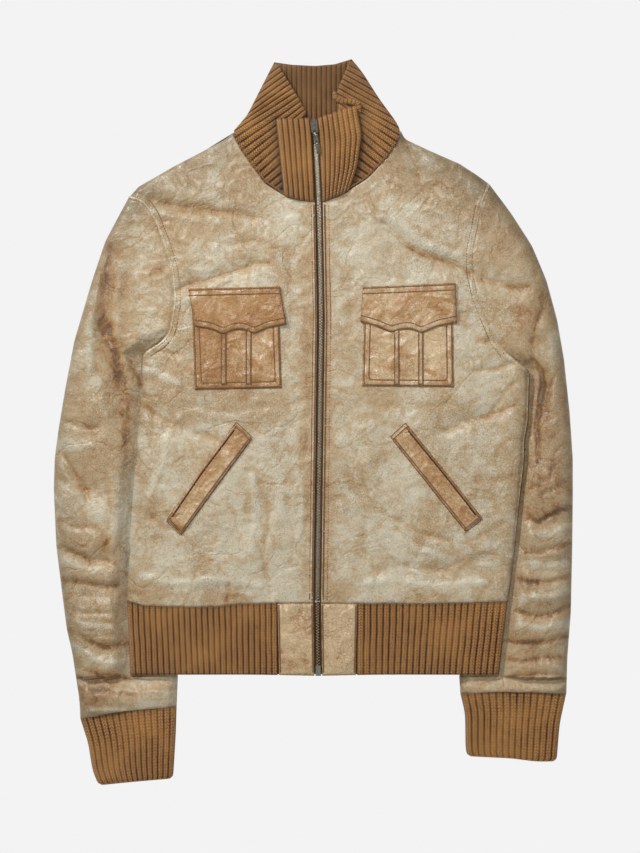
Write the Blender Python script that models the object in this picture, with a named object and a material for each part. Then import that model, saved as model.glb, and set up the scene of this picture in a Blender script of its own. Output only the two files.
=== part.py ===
"""Worn leather bomber jacket with rib-knit collar, hem and cuffs, laid flat on its back.

Sizes are in millimetres and become metres when a mesh is made. X runs across the jacket, Y from hem
to collar and Z out of the front. z = 0 is the surface that it lies on. Left and right are as seen from
the front. Every cloth piece is a wall: a grid of points for its outer side and a second grid one wall
thickness inside, closed round its rim. Pieces stay one seam gap apart.
"""
import math

import bpy
import numpy as np

MM = 0.001
SEAM = 0.3

# Wall thicknesses
BACK_WALL = 2.0
LEATHER_WALL = 1.6
SLEEVE_WALL = 1.5
KNIT_WALL = 2.2
TRIM_WALL = 1.3
TAPE_WALL = 0.8

# Heights of the outer surfaces above the ground
FRONT_MID = 9.0
FRONT_RISE = 3.5
SLEEVE_RISE = 2.5
SLEEVE_FLAT = 3.7
BACK_LIFT = 4.0
PIT_RISE = 18.0
EDGE_STAND = 1.8
CUFF_TOP = 8.2
HEM_DIP = 1.2
SIDE_ROUND = 16.0
OUTER_ROUND = 20.0
CUFF_ROUND = 9.0

# Distances from a rounded edge at which a grid has its lines
EDGE_STEPS = (0.0, 2.0, 6.5, 14.0)

# Share of the armhole, from the armpit up, that lies below the neckline's lowest point
ARM_SPLIT = 0.56

# Extra room where three walls meet at a seam's corner
CORNER_GAP = 1.5
CORNER_REACH = 6.0

# Rib relief
RIB_HEIGHT = 0.8
HEM_RIBS_LEFT = 26
HEM_RIBS_RIGHT = 23
CUFF_RIBS = 15
SIDE_COLLAR_RIBS = 18
BACK_COLLAR_RIBS = 24

# Zip
ZIP_HALF = 4.6
CHAIN_HALF = 2.4
TAPE_INNER = 2.8
TAPE_OUTER = 12.0
CHAIN_LOW = 6.0
CHAIN_HIGH = 9.3
ZIP_LINE = [(5.8, -296), (4.5, -211), (7, -30), (8.9, 122), (6.5, 255), (2, 338), (0.2, 354)]

# Plan outlines, each from the lower end up or from the middle out
SHOULDER_L = [(-94.5, 338), (-103.6, 330), (-163, 299), (-203.8, 275.5), (-216, 262.5)]
SHOULDER_R = [(102, 341), (107, 331), (130, 320), (171, 302), (191, 289), (206, 278)]
ARMHOLE_L = [(-199, 78.5), (-194, 83), (-176, 94), (-167, 107), (-161.5, 143), (-164.7, 177),
             (-174, 208), (-186.5, 241), (-197.5, 256), (-216, 262.5)]
ARMHOLE_R = [(250.6, 60), (224.5, 80.6), (212, 97), (200.5, 125), (192, 146), (185.5, 176),
             (185.7, 200), (191, 225), (196, 252), (206, 278)]
SIDE_L = [(-213.6, -295), (-217.5, -208.5), (-214.4, -156), (-213.4, -121), (-208.7, -59),
          (-205.4, -42), (-204, -9), (-199, 54), (-199, 78.5)]
SIDE_R = [(216.5, -295), (226.3, -209), (230, -185), (234, -147), (239, -91.5), (244, -46),
          (244.5, -21), (248.6, 1.5), (249.5, 33), (250.6, 60)]
HEM_SEAM_L = [(-0.2, -211), (-42, -211), (-90, -212.4), (-117, -216), (-197, -214.4), (-217.5, -208.5)]
HEM_SEAM_R = [(9.2, -211), (51.5, -211.7), (130, -212), (226.3, -209)]
NECK_L = [(1.9, 257), (-16.8, 259), (-31.5, 263), (-57, 279), (-83.8, 316.6), (-94.5, 338)]
NECK_R = [(11.1, 257), (34, 266), (63.6, 284.4), (86.4, 308.6), (99, 327.3), (102, 341)]
NECK_BACK = [(-94.5, 338), (-50, 333), (2, 330), (52, 334), (102, 341)]
OUTER_L = [(-272.3, -346.4), (-273.4, -324), (-282, -268), (-288, -243), (-293, -204.5), (-300.5, -144),
           (-303.4, -79), (-302.3, -42), (-298, -9), (-290, 39), (-279.4, 95), (-258.5, 166),
           (-243, 212), (-216, 262.5)]
OUTER_R = [(295.8, -317), (297, -274), (301, -223), (302.7, -147), (303.4, -84), (303.3, -42),
           (299.6, 12), (293, 74), (285, 120), (272.5, 166), (255.8, 206), (230.7, 245), (206, 278)]
INNER_L = [(-159.8, -332.2), (-158.4, -297.2), (-186.5, -36), (-192, 28), (-198.5, 50),
           (-199.8, 60), (-199.8, 78.2)]
INNER_R = [(171.9, -316.7), (170.6, -297.4), (224, -60), (238, 0), (247.5, 26), (250.9, 37), (251.8, 59)]

# Closed rings of a sleeve, from the armpit to the cuff: the height on the page at which each meets its
# outer edge, the body's edge and its own inner edge, and into how many rings each stretch is split
RINGS_L = [(73, 72.5, 72), (-204, -205, -205), (-304, -297.4, -297.2), (-326, -318, -314),
           (-346.4, -337.4, -332.2)]
RINGS_R = [(54, 53.5, 53), (-190, -200, -203), (-290, -297.4, -297.4), (-304, -306, -308),
           (-317, -316, -316.7)]
RING_STEPS = (13, 4, 1, 1)
SLEEVE_TOP_L = 257.0
SLEEVE_TOP_R = 264.0
INNER_ROUND = 20.0
OPEN_EDGE = 5.0
PIT_FADE = 34.0
HIDDEN_EDGE = 3.6
LOW_SHARES = (1.0, 0.9, 0.7, 0.48, 0.22)
HEM_CLEAR = -298.0
HEM_DEPTH = 88.0
BELOW_HEM = 2.4
CUFF_EASE = 26.0
CUFF_TURN = 0.42
FULL_EDGE = 40.0
LIFT_START = 22.0
LIFT_RUN = 19.0
CROWN_MIDDLE = 4.0
CROWN_FLAT = 60.0
CROWN_RUN = 130.0
SLEEVE_START = 205.0
SLEEVE_RUN = 45.0

CUFF_SEAM_L = [(-272.2, -346.9), (-226, -337.8), (-198, -335.4), (-159.8, -332.6)]
CUFF_END_L = [(-251, -424.1), (-216, -420.5), (-195, -418.6), (-164, -416)]
CUFF_SIDES_L = ([(-272.2, -346.9), (-263.4, -374), (-258, -408), (-251, -424.1)],
                [(-159.8, -332.6), (-160.7, -363), (-162.4, -392), (-164, -416)])
CUFF_SEAM_R = [(295.6, -317.4), (240, -314.7), (208, -315.1), (171.9, -317.2)]
CUFF_END_R = [(284.4, -396), (261, -396.4), (232, -392.6), (180, -390)]
CUFF_SIDES_R = ([(295.6, -317.4), (288, -352), (285.3, -385), (284.4, -396)],
                [(171.9, -317.2), (177.4, -340), (178, -386), (180, -390)])

# Largest soft folds: route, half width, height (a trough is negative)
FOLDS = [
    ([(-177, 252), (-117, 247), (-69, 241)], 11, -2.2),
    ([(-158, 153), (-138, 166), (-104, 174), (-72, 183)], 10, -1.6),
    ([(87, 227), (127, 196), (159, 184), (198, 168), (234, 157)], 12, -2.6),
    ([(108, 314), (122, 292), (140, 276)], 12, -2.0),
    ([(-236, 199), (-242, 141), (-242, 100), (-227, 64), (-224, 1.5)], 11, -3.4),
    ([(-262, 120), (-268, 60), (-262, 10)], 13, 2.0),
    ([(-300, -148), (-262, -162), (-238, -160)], 11, -3.2),
    ([(-300, -190), (-262, -198), (-236, -200)], 11, -3.0),
    ([(-298, -30), (-275, -67), (-250, -84)], 12, -2.8),
    ([(-292, -258), (-250, -272), (-222, -264)], 11, -2.6),
    ([(-278, -306), (-236, -308), (-186, -304)], 9, -2.2),
    ([(262, 92), (268, 43), (262, -9), (266, -50)], 11, -3.4),
    ([(300, -108), (268, -120), (250, -112)], 10, -3.0),
    ([(300, -160), (268, -170), (246, -166)], 10, -3.0),
    ([(300, -214), (264, -226), (242, -222)], 10, -3.0),
    ([(296, -262), (262, -270), (228, -264)], 10, -2.6),
    ([(-205, 20), (-150, -10), (-112, -20)], 14, -1.6),
    ([(-120, -185), (-60, -150), (-20, -80)], 16, 1.4),
    ([(60, -160), (130, -178), (214, -168)], 15, -1.8),
    ([(236, 20), (180, 2), (150, -10)], 14, -1.8),
    ([(30, 60), (60, 20), (70, -40)], 15, 1.4),
]

# Chest pockets: corners of the body and of the flap, then the flap's lower edge
POCKETS = {
    "left": {
        "body": [(-138.2, 38), (-36.8, 40), (-40.5, 150), (-142, 148)],
        "flap_top": [(-145.8, 155.8), (-39, 158.5)],
        "flap_edge": [(-138.6, 111.6), (-118, 108), (-104.7, 101.8), (-95, 107), (-85.9, 108.2),
                      (-78, 107), (-69.8, 102.2), (-54, 109.5), (-31.4, 114.3)],
        "bands": [(-108.2, -101.3), (-79.2, -72.0)],
    },
    "right": {
        "body": [(57.2, 42), (163.8, 41), (162.5, 155), (59.5, 152)],
        "flap_top": [(57.6, 158), (165.7, 162.4)],
        "flap_edge": [(55, 117), (74, 111.5), (91.5, 104), (101, 107.6), (109.3, 108.4),
                      (117, 107.6), (125.5, 102.7), (144, 111), (167.5, 116)],
        "bands": [(94.0, 100.5), (122.0, 128.6)],
    },
}
BAND_TOP = 97.0
BAND_FOOT = 44.0

# Hand pocket welts: inner corner, top, outer, bottom, as a band with two long edges
WELTS = {
    "left": ([(-90.6, -1.3), (-132, -56), (-170.7, -113.8)], [(-71.8, -19), (-113, -74), (-154, -131)]),
    "right": ([(108.5, -2.3), (153, -56), (196.6, -111.7)], [(90.9, -18), (134, -72), (177.4, -126.9)]),
}

# Collar, folded flat: silhouette, rim and the lines where its front stretches fold under
COLLAR_EDGE_L = [(-93.6, 340.2), (-77, 359.4), (-62, 389), (-45.6, 421)]
COLLAR_EDGE_R = [(101.0, 343.4), (95.7, 352.8), (76.9, 378.2), (58, 408), (44.8, 424.6)]
COLLAR_RIM_BACK = [(-45.6, 421), (-25, 418), (2, 416.6), (25, 418.6), (44.8, 424.6)]
COLLAR_RIM_L = [(-45.6, 421), (-39.6, 415), (-20, 383), (-7, 361), (-14.6, 345), (-23, 300), (-31, 268)]
COLLAR_RIM_R = [(44.8, 424.6), (39, 414), (25.6, 382), (30, 374), (27, 350), (28, 310), (38, 271)]
COLLAR_FRONT_L = ([(1.4, 257.8), (-2.4, 338), (-4.4, 355)], [(-34.2, 265.4), (-39, 312), (-43.6, 354)])
COLLAR_FRONT_R = ([(10.6, 257.8), (6.6, 338), (4.6, 355)],
                  [(42, 271.5), (52, 300), (56.8, 335.3), (50.5, 370)])
COLLAR_MID = 8.9
COLLAR_LOW = 6.0
COLLAR_EDGE = 4.6
COLLAR_ROUND = 13.0
COLLAR_FRONT_ZIP = 9.6
COLLAR_FRONT_TOP = 11.4

# Slider and its pull tab
SLIDER_LOW_END = 338.6
SLIDER_TOP_END = 353.6
SLIDER_HALF = 4.2
SLIDER_Z = (4.7, 10.9)
SLOT_Z = (5.9, 7.5)
BRIDGE_TOP = 15.0
BRIDGE_HALF = 0.9
BRIDGE_LEGS = ((-2.6, -1.3), (2.6, 3.8))
PIVOT = (1.1, 342.0, 12.3)
PULL_TILT = math.radians(11.0)
PULL_LENGTH = 30.0
PULL_HALF = 2.5
PULL_WINDOW_HALF = 1.7
PULL_THICK = 1.3
PULL_BAR = 1.3
PULL_WINDOW = 7.0
PULL_SLOT_HALF = 0.9


def line(points):
    """A path as an array."""
    return np.array(points, dtype=float)


def lengths(path):
    """Distance along a path at each of its points."""
    steps = np.linalg.norm(np.diff(path, axis=0), axis=1)
    return np.concatenate([[0.0], np.cumsum(steps)])


def along(points, where):
    """Points at distances along a path, where 1 is its whole length."""
    path = line(points)
    run = lengths(path)
    at = np.asarray(where, dtype=float) * run[-1]
    return np.stack([np.interp(at, run, path[:, k]) for k in range(path.shape[1])], axis=-1)


def at_height(points, y):
    """Points of a path at heights y on the page; the path climbs steadily."""
    path = line(sorted(points, key=lambda p: p[1]))
    y = np.asarray(y, dtype=float)
    return np.stack([np.interp(y, path[:, 1], path[:, 0]), y], axis=-1)


def distance(where, points):
    """Distance of each plan point from a path."""
    path = line(points)
    where = np.asarray(where, dtype=float)[..., None, :]
    step = path[1:] - path[:-1]
    share = ((where - path[:-1]) * step).sum(-1) / (step * step).sum(-1)
    nearest = path[:-1] + np.clip(share, 0, 1)[..., None] * step
    return np.linalg.norm(where - nearest, axis=-1).min(-1)


def smooth(value):
    """A soft step from 0 to 1."""
    t = np.clip(value, 0, 1)
    return t * t * (3 - 2 * t)


def round_off(gap, width):
    """The height of a round shoulder, from 0 at an edge to 1 at one width inside it."""
    t = np.clip(gap / width, 0, 1)
    return np.sqrt(1 - (1 - t) ** 2)


def zip_x(y):
    """Middle of the zip at a height on the page."""
    return at_height(ZIP_LINE, y)[..., 0]


def body_edge(side, y):
    """X of the body's side edge at a height on the page."""
    return at_height(SIDE_L if side < 0 else SIDE_R, y)[..., 0]


def sleeve_inner(side, y):
    """X of the sleeve's inner edge at a height on the page."""
    return at_height(INNER_L if side < 0 else INNER_R, y)[..., 0]


def back_under(where):
    """Height of the back's underside, which lies on the sleeves near its sides."""
    x, y = where[..., 0], where[..., 1]
    lift = np.zeros(x.shape)
    for side, top in ((-1, SIDE_L[-1][1]), (1, SIDE_R[-1][1])):
        over = (x - sleeve_inner(side, y)) * side
        ramp = np.clip((over + LIFT_START) / LIFT_RUN, 0, 1)
        reach = np.clip((top - y) / PIT_RISE, 0, 1)
        lift = np.maximum(lift, ramp * reach)
    return BACK_LIFT * lift


def fold_height(where):
    """Sum of the soft folds at plan points."""
    total = np.zeros(where.shape[:-1])
    for route, half_width, height in FOLDS:
        total = total + height * np.exp(-(distance(where, route) / half_width) ** 2)
    return total


def crown(where):
    """Height of the filled-out cloth before its edges turn down."""
    out = np.abs(where[..., 0] - CROWN_MIDDLE)
    body = FRONT_MID + FRONT_RISE * smooth((out - CROWN_FLAT) / CROWN_RUN)
    return body + SLEEVE_RISE * smooth((out - SLEEVE_START) / SLEEVE_RUN) + fold_height(where)


def front_top(where):
    """Outer height of the front, its hem and what continues them."""
    low = back_under(where) + BACK_WALL + SEAM + EDGE_STAND
    side = np.minimum(distance(where, SIDE_L), distance(where, SIDE_R))
    outer = np.minimum(distance(where, SHOULDER_L), distance(where, SHOULDER_R))
    hem = np.minimum(distance(where, HEM_SEAM_L), distance(where, HEM_SEAM_R))
    turn = np.minimum(round_off(side, SIDE_ROUND), round_off(outer, OUTER_ROUND))
    off_zip = smooth((np.abs(where[..., 0] - zip_x(where[..., 1])) - 15) / 30)
    top = crown(where) - HEM_DIP * off_zip * (1 - round_off(hem, SIDE_ROUND))
    return low + (top - low) * turn


def sleeve_top(where, side, to_flat, above_pit):
    """Outer height of a sleeve: round at its edges and flat from where it runs under the body."""
    outer = OUTER_L if side < 0 else OUTER_R
    hem_y = (HEM_SEAM_L if side < 0 else HEM_SEAM_R)[-1][1] - HEM_DEPTH
    away = np.maximum(to_flat, 0)
    inner = distance(where, [p for p in (INNER_L if side < 0 else INNER_R) if p[1] < hem_y])
    below = where[..., 1] < HEM_CLEAR
    away = np.where(below, np.minimum(HEM_CLEAR + BELOW_HEM - where[..., 1], inner), away)
    cuff = distance(where, CUFF_SEAM_L if side < 0 else CUFF_SEAM_R)
    level = smooth(above_pit / PIT_FADE)
    inner_turn = level + (1 - level) * smooth(away / INNER_ROUND)
    turn = np.minimum(round_off(distance(where, outer), OUTER_ROUND), inner_turn)
    top = CUFF_TOP + (crown(where) - CUFF_TOP) * round_off(cuff, CUFF_EASE)
    return SLEEVE_FLAT + (top - SLEEVE_FLAT) * turn


def sleeve_inset(run, z, flat, low_at, closed):
    """The inner side of a sleeve's ring: distances along it and heights, one wall inside the outer."""
    reach = EDGE_STEPS[-1] * min(1.0, flat / FULL_EDGE)
    inner = run + SLEEVE_WALL * np.clip(1 - run / reach, 0, 1)
    height = np.interp(inner, run, z) - SLEEVE_WALL * 1.06
    height[0] = z[0]
    low = low_at.copy()
    low[-1] = low_at[-1] + 1.0
    if closed:
        end = run[-1]
        inner[-2:] = (end - 2.0, end - 1.7)
        height[-2:] = (SLEEVE_FLAT - SLEEVE_WALL, z[-1])
        low[0] = end - 2.0
    return np.concatenate([inner, low]), np.concatenate([height, np.full(len(low), SLEEVE_WALL)])


def grid_normals(grid, closed):
    """Unit normals of a grid's points, scaled so that a move along them keeps an even wall."""
    rows, cols = grid.shape[:2]
    total = np.zeros(grid.shape)
    faces = []
    last = cols if closed else cols - 1
    for r in range(rows - 1):
        for c in range(last):
            d = (c + 1) % cols
            normal = np.cross(grid[r, d] - grid[r + 1, c], grid[r + 1, d] - grid[r, c])
            size = np.linalg.norm(normal)
            if size > 1e-9:
                normal = normal / size
                faces.append(((r, c), (r, d), (r + 1, d), (r + 1, c), normal))
    for a, b, c, d, normal in faces:
        for corner in (a, b, c, d):
            total[corner] += normal
    unit = total / np.maximum(np.linalg.norm(total, axis=-1, keepdims=True), 1e-9)
    lean = np.ones(grid.shape[:2])
    for a, b, c, d, normal in faces:
        for corner in (a, b, c, d):
            lean[corner] = min(lean[corner], float(unit[corner] @ normal))
    return unit / np.clip(lean, 0.72, 1)[..., None], unit


def material(name, colour, roughness, metallic=0.0):
    """A plain finish for one kind of piece."""
    found = bpy.data.materials.get(name)
    if found:
        return found
    made = bpy.data.materials.new(name)
    made.use_nodes = True
    shader = made.node_tree.nodes["Principled BSDF"]
    shader.inputs["Base Color"].default_value = (*colour, 1.0)
    shader.inputs["Roughness"].default_value = roughness
    shader.inputs["Metallic"].default_value = metallic
    return made


def leather():
    return material("leather", (0.52, 0.36, 0.19), 0.45)


def dark_leather():
    return material("leather_dark", (0.37, 0.19, 0.08), 0.38)


def knit():
    return material("rib_knit", (0.30, 0.16, 0.07), 0.9)


def tape():
    return material("zip_tape", (0.08, 0.045, 0.025), 0.85)


def metal():
    return material("zip_metal", (0.22, 0.20, 0.18), 0.35, 1.0)


def add_object(name, points, faces, finish, parent=None, origin=None):
    """One closed mesh as a named object; its origin may sit on a joint's axis."""
    start = np.zeros(3) if origin is None else np.asarray(origin, dtype=float)
    mesh = bpy.data.meshes.new(name)
    mesh.from_pydata([tuple((np.asarray(p) - start) * MM) for p in points], [], faces)
    mesh.materials.append(finish)
    mesh.validate()
    made = bpy.data.objects.new(name, mesh)
    made.location = tuple(start * MM)
    bpy.context.scene.collection.objects.link(made)
    mesh.shade_smooth()
    mesh.set_sharp_from_angle(angle=math.radians(35))
    if parent:
        made.parent = parent
    return made


def close_wall(name, outer, inner, finish, closed=False):
    """A wall between two grids of the same shape. A closed grid is a tube, open at both ends."""
    rows, cols = outer.shape[:2]
    points = list(outer.reshape(-1, 3)) + list(inner.reshape(-1, 3))
    shift = rows * cols

    def index(r, c):
        return r * cols + c % cols

    faces = []
    last = cols if closed else cols - 1
    for r in range(rows - 1):
        for c in range(last):
            quad = (index(r, c), index(r, c + 1), index(r + 1, c + 1), index(r + 1, c))
            for tri in ((quad[0], quad[1], quad[2]), (quad[0], quad[2], quad[3])):
                faces.append(tri)
                faces.append(tuple(k + shift for k in reversed(tri)))
    rim = []
    for c in range(last):
        rim.append((index(0, c + 1), index(0, c)))
        rim.append((index(rows - 1, c), index(rows - 1, c + 1)))
    if not closed:
        for r in range(rows - 1):
            rim.append((index(r, 0), index(r + 1, 0)))
            rim.append((index(r + 1, cols - 1), index(r, cols - 1)))
    for a, b in rim:
        faces.append((a, b, b + shift))
        faces.append((a, b + shift, a + shift))
    return add_object(name, points, faces, finish)


def wall(name, grid, thickness, finish, closed=False, relief=None, straight=False):
    """A wall below a grid whose normals point out, with ribs raised on its outer side only."""
    even, unit = grid_normals(grid, closed)
    inner = grid - thickness * (np.array([0.0, 0.0, 1.0]) if straight else even)
    outer = grid if relief is None else grid + unit * relief[..., None]
    return close_wall(name, outer, inner, finish, closed)


def upward(grid):
    """The same grid, with its columns turned round if its faces look down."""
    across = grid[0, -1] - grid[0, 0]
    up = grid[-1, 0] - grid[0, 0]
    return grid if across[0] * up[1] - across[1] * up[0] > 0 else grid[:, ::-1]


def steps_from(length, count, start=(), end=()):
    """Distances along a line: some close to its start, some close to its end, the rest even."""
    low = start[-1] if start else 0.0
    high = length - (end[-1] if end else 0.0)
    middle = np.linspace(low, high, count + 2)
    head = list(start[:-1]) if start else []
    tail = [length - e for e in reversed(end[:-1])] if end else []
    return np.array(head + list(middle) + tail)


def blended(inner, outer, bottom, top, shares, reach=0.3):
    """A plan grid between two side lines, bent near its bottom and top rows to meet those lines."""
    rows = len(inner)
    plan = inner[:, None] * (1 - shares[..., None]) + outer[:, None] * shares[..., None]
    for row, path in ((0, bottom), (rows - 1, top)):
        wanted = np.array(path) if len(path) == shares.shape[1] else along(path, shares[row])
        change = wanted - plan[row]
        for r in range(rows):
            share = smooth(1 - abs(r - row) / (reach * rows))
            plan[r] = plan[r] + change * share
    return plan


def neck_line(side):
    """The neck seam's points on a front, from the zip to the shoulder; the collar starts on them."""
    neck = NECK_L if side < 0 else NECK_R
    run = lengths(line(neck))[-1]
    return along(neck, steps_from(run, 2, end=EDGE_STEPS) / run)


def armhole_line(side):
    """The armhole seam's points, from the armpit to the shoulder, shared by front, back and sleeve."""
    armhole = ARMHOLE_L if side < 0 else ARMHOLE_R
    run = lengths(line(armhole))[-1] * (1 - ARM_SPLIT)
    low = np.linspace(0, ARM_SPLIT, 7)[:-1]
    high = ARM_SPLIT + steps_from(run, 2, end=EDGE_STEPS) / run * (1 - ARM_SPLIT)
    return along(armhole, np.concatenate([low, high]))


def offset(path, gap, corner=0.0):
    """A path moved sideways, to its left where the gap is positive, and further at its first corner."""
    path = line(path)
    ahead = np.gradient(path, axis=0)
    ahead = ahead / np.linalg.norm(ahead, axis=1, keepdims=True)
    more = corner * np.exp(-(lengths(path) / CORNER_REACH) ** 2)
    sideways = np.stack([-ahead[:, 1], ahead[:, 0]], axis=-1)
    return path + sideways * (gap + np.sign(gap) * more)[:, None]


def front_plan(side):
    """Plan grid of a front: rows from the hem seam to the shoulder, columns from zip to side."""
    left = side < 0
    seam, neck = (HEM_SEAM_L, NECK_L) if left else (HEM_SEAM_R, NECK_R)
    edge, armhole, shoulder = ((SIDE_L, ARMHOLE_L, SHOULDER_L) if left
                               else (SIDE_R, ARMHOLE_R, SHOULDER_R))
    armpit = armhole[0][1]
    lower = np.linspace(seam[0][1], armpit - PIT_RISE, 11)
    outer_low = at_height(edge, np.linspace(seam[-1][1], armpit - PIT_RISE, 11))
    inner_low = np.stack([zip_x(lower) + side * ZIP_HALF, lower], axis=-1)
    middle = np.linspace(armpit, neck[0][1], 7)[:-1]
    inner_mid = np.stack([zip_x(middle) + side * ZIP_HALF, middle], axis=-1)
    inner = np.concatenate([inner_low, inner_mid, neck_line(side)])
    outer = np.concatenate([outer_low, armhole_line(side)])
    widths = np.linalg.norm(outer - inner, axis=1)
    shares = np.stack([steps_from(w, 6, end=EDGE_STEPS) / w for w in widths])
    plan = blended(inner, outer, seam, shoulder, shares)
    return plan, len(lower)


def make_front(side):
    """One front: the leather wall, its side edge and shoulder turned down on to the back."""
    plan, armpit_row = front_plan(side)
    top = front_top(plan)
    grid = np.concatenate([plan, top[..., None]], axis=-1)
    rim = grid[:, -1:].copy()
    for r in range(len(grid)):
        if r <= armpit_row:
            rim[r, 0, 2] -= EDGE_STAND - SEAM
        else:
            inward = (grid[r, -2] - grid[r, -1]) * 0.3
            grid[r, -1] = grid[r, -1] + inward
    grid = np.concatenate([grid, rim], axis=1)
    turn = grid[-1:].copy()
    turn[..., 2] = BACK_WALL + SEAM
    grid = np.concatenate([grid, turn], axis=0)
    shift_from_seam(grid, side)
    return grid


def shift_from_seam(grid, side):
    """Moves a front's lowest row and neckline off the seam by half a seam gap."""
    grid[0, :, 1] += SEAM / 2


def make_back():
    """The back: one flat wall that rises over the sleeves at its sides."""
    left = list(at_height(SIDE_L, [-208.7, -160, -110, -60, -42, -9, 28, 46, SIDE_L[-1][1] - PIT_RISE]))
    right = list(at_height(SIDE_R, [-208.7, -160, -110, -70, -46, -21, 2, 26, SIDE_R[-1][1] - PIT_RISE]))
    left = np.array(left + list(armhole_line(-1)))
    right = np.array(right + list(armhole_line(1)))
    top = SHOULDER_L[::-1] + NECK_BACK[1:-1] + SHOULDER_R
    bottom = [tuple(left[0]), (-100, -211.5), (0, -211.5), (120, -211.5), tuple(right[0])]
    shares = []
    for a, b in zip(left, right):
        width = b[0] - a[0]
        marks = [0.0]
        for side, end in ((-1, a), (1, b)):
            over = max(float((end[0] - sleeve_inner(side, end[1])) * side), 0.0)
            first = max(over + 1.4, 5.0)
            marks += [first, first + 21.0] if side < 0 else [width - first - 21.0, width - first]
        marks.append(width)
        inside = np.linspace(marks[2], marks[3], 7)[1:-1]
        marks = marks[:3] + list(inside) + marks[3:]
        shares.append(np.array(marks) / width)
    shares = np.array(shares)
    runs = lengths(line(top))
    marks = runs[[0, len(SHOULDER_L) - 1, len(SHOULDER_L), len(SHOULDER_L) + 1, len(SHOULDER_L) + 2,
                  len(SHOULDER_L) + 3, -1]] / runs[-1]
    top_shares = np.concatenate([np.linspace(marks[0], marks[1], 4)[:-1], marks[1:6],
                                 np.linspace(marks[5], marks[6], 4)[1:]])
    plan = blended(left, right, bottom, along(top, top_shares), shares, reach=0.45)
    height = back_under(plan) + BACK_WALL
    grid = np.concatenate([plan, height[..., None]], axis=-1)
    wall("back", upward(grid), BACK_WALL, leather(), straight=True)


def sleeve_rings(side):
    """Plan points of a sleeve's rings, from the shoulder to the cuff, and where each turns flat.

    Each ring runs from the outer fold over the top to the armhole, or below the armpit to the
    sleeve's own inner fold under the body. The last value is the ring's height above the armpit.
    """
    left = side < 0
    outer_path, inner_path = (OUTER_L, INNER_L) if left else (OUTER_R, INNER_R)
    armhole = offset(armhole_line(side)[::-1], side * SEAM, CORNER_GAP)
    top_y = SLEEVE_TOP_L if left else SLEEVE_TOP_R
    ends = [at_height(armhole, top_y)] + [p for p in armhole if p[1] < top_y - 2]
    stations = []
    for a in ends:
        o = at_height(outer_path, a[1])
        stations.append((o, a + (o - a) / np.linalg.norm(o - a) * OPEN_EDGE, a, a[1] - ends[-1][1]))
    keys = np.array(RINGS_L if left else RINGS_R, dtype=float)
    spots = [0.0]
    for k, count in enumerate(RING_STEPS):
        spots += [k + (n + 1) / count for n in range(count)]
    heights = np.stack([np.interp(spots, range(len(keys)), keys[:, j]) for j in range(3)], axis=-1)
    for y_out, y_edge, y_in in heights:
        o = at_height(outer_path, y_out)
        i = at_height(inner_path, y_in)
        reach = max(side * float(body_edge(side, y_edge)) + 1.0, side * float(i[0]) + HIDDEN_EDGE)
        e = np.array([side * reach, y_edge])
        if y_edge < HEM_CLEAR:
            e[0] = i[0] + (o[0] - i[0]) * CUFF_TURN
        stations.append((o, e, i, 0.0))
    rings = []
    for o, e, i, above in stations:
        first, second = np.linalg.norm(e - o), np.linalg.norm(i - e)
        reach = min(1.0, first / FULL_EDGE)
        head, tail = [v * reach for v in EDGE_STEPS], (0.0, 1.5 * reach, 5.0 * reach, 12.0 * reach)
        cols = steps_from(first, 4, start=head, end=tail) / first
        hidden = np.array([0.5 - 1.3 / second, 1 - 1.4 / second, 1.0])
        plan = np.concatenate([o + (e - o) * cols[:, None], e + (i - e) * hidden[:, None]])
        rings.append([plan, first, above])
    last = rings[-1][0]
    share = lengths(last) / lengths(last)[-1]
    rings[-1][0] = along(CUFF_SEAM_L if left else CUFF_SEAM_R, share) + np.array([0.0, 0.5])
    return rings, len(ends)


def make_sleeve(side):
    """A sleeve: a flattened tube that is open at the armhole, its inner part under the body."""
    outer_rings, inner_rings = [], []
    rings, open_rings = sleeve_rings(side)
    for n, (plan, flat, above) in enumerate(rings):
        run = lengths(plan)
        z = sleeve_top(plan, side, flat - run, above)
        z[0] = SLEEVE_FLAT
        low_end = 0.0
        if n >= open_rings:
            z[-1] = SLEEVE_FLAT / 2
            low_end = 1.2
        low_at = np.concatenate([[run[-1] - low_end], flat * np.array(LOW_SHARES), [min(3.0, 0.12 * flat)]])
        section = np.stack([np.concatenate([run, low_at]), np.concatenate([z, np.zeros(len(low_at))])],
                           axis=-1)
        inset = np.stack(sleeve_inset(run, z, flat, low_at, n >= open_rings), axis=-1)
        for found, points in ((outer_rings, section), (inner_rings, inset)):
            spots = np.stack([np.interp(points[:, 0], run, plan[:, k]) for k in range(2)], axis=-1)
            found.append(np.concatenate([spots, points[:, 1:]], axis=1))
    name = "sleeve_left" if side < 0 else "sleeve_right"
    tube_with_opening(name, np.array(outer_rings), np.array(inner_rings), leather(),
                      len(rings[0][0]) - 1, open_rings, side > 0)


def tube_with_opening(name, outer, inner, finish, slit, open_rings, flip):
    """A tube's wall whose first rings are open at one column, closed round all its rims."""
    rows, cols = outer.shape[:2]
    shift = rows * cols
    skin = []
    for r in range(rows - 1):
        for c in range(cols):
            if c == slit and r < open_rings:
                continue
            d = (c + 1) % cols
            quad = [r * cols + c, r * cols + d, (r + 1) * cols + d, (r + 1) * cols + c]
            if not flip:
                quad = quad[::-1]
            skin.append((quad[0], quad[1], quad[2]))
            skin.append((quad[0], quad[2], quad[3]))
    used = {}
    for tri in skin:
        for k in range(3):
            used[(tri[k], tri[(k + 1) % 3])] = True
    faces = list(skin)
    for tri in skin:
        faces.append(tuple(k + shift for k in reversed(tri)))
    for a, b in used:
        if (b, a) not in used:
            faces.append((b, a, a + shift))
            faces.append((b, a + shift, b + shift))
    points = list(outer.reshape(-1, 3)) + list(inner.reshape(-1, 3))
    return add_object(name, points, faces, finish)


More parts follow.
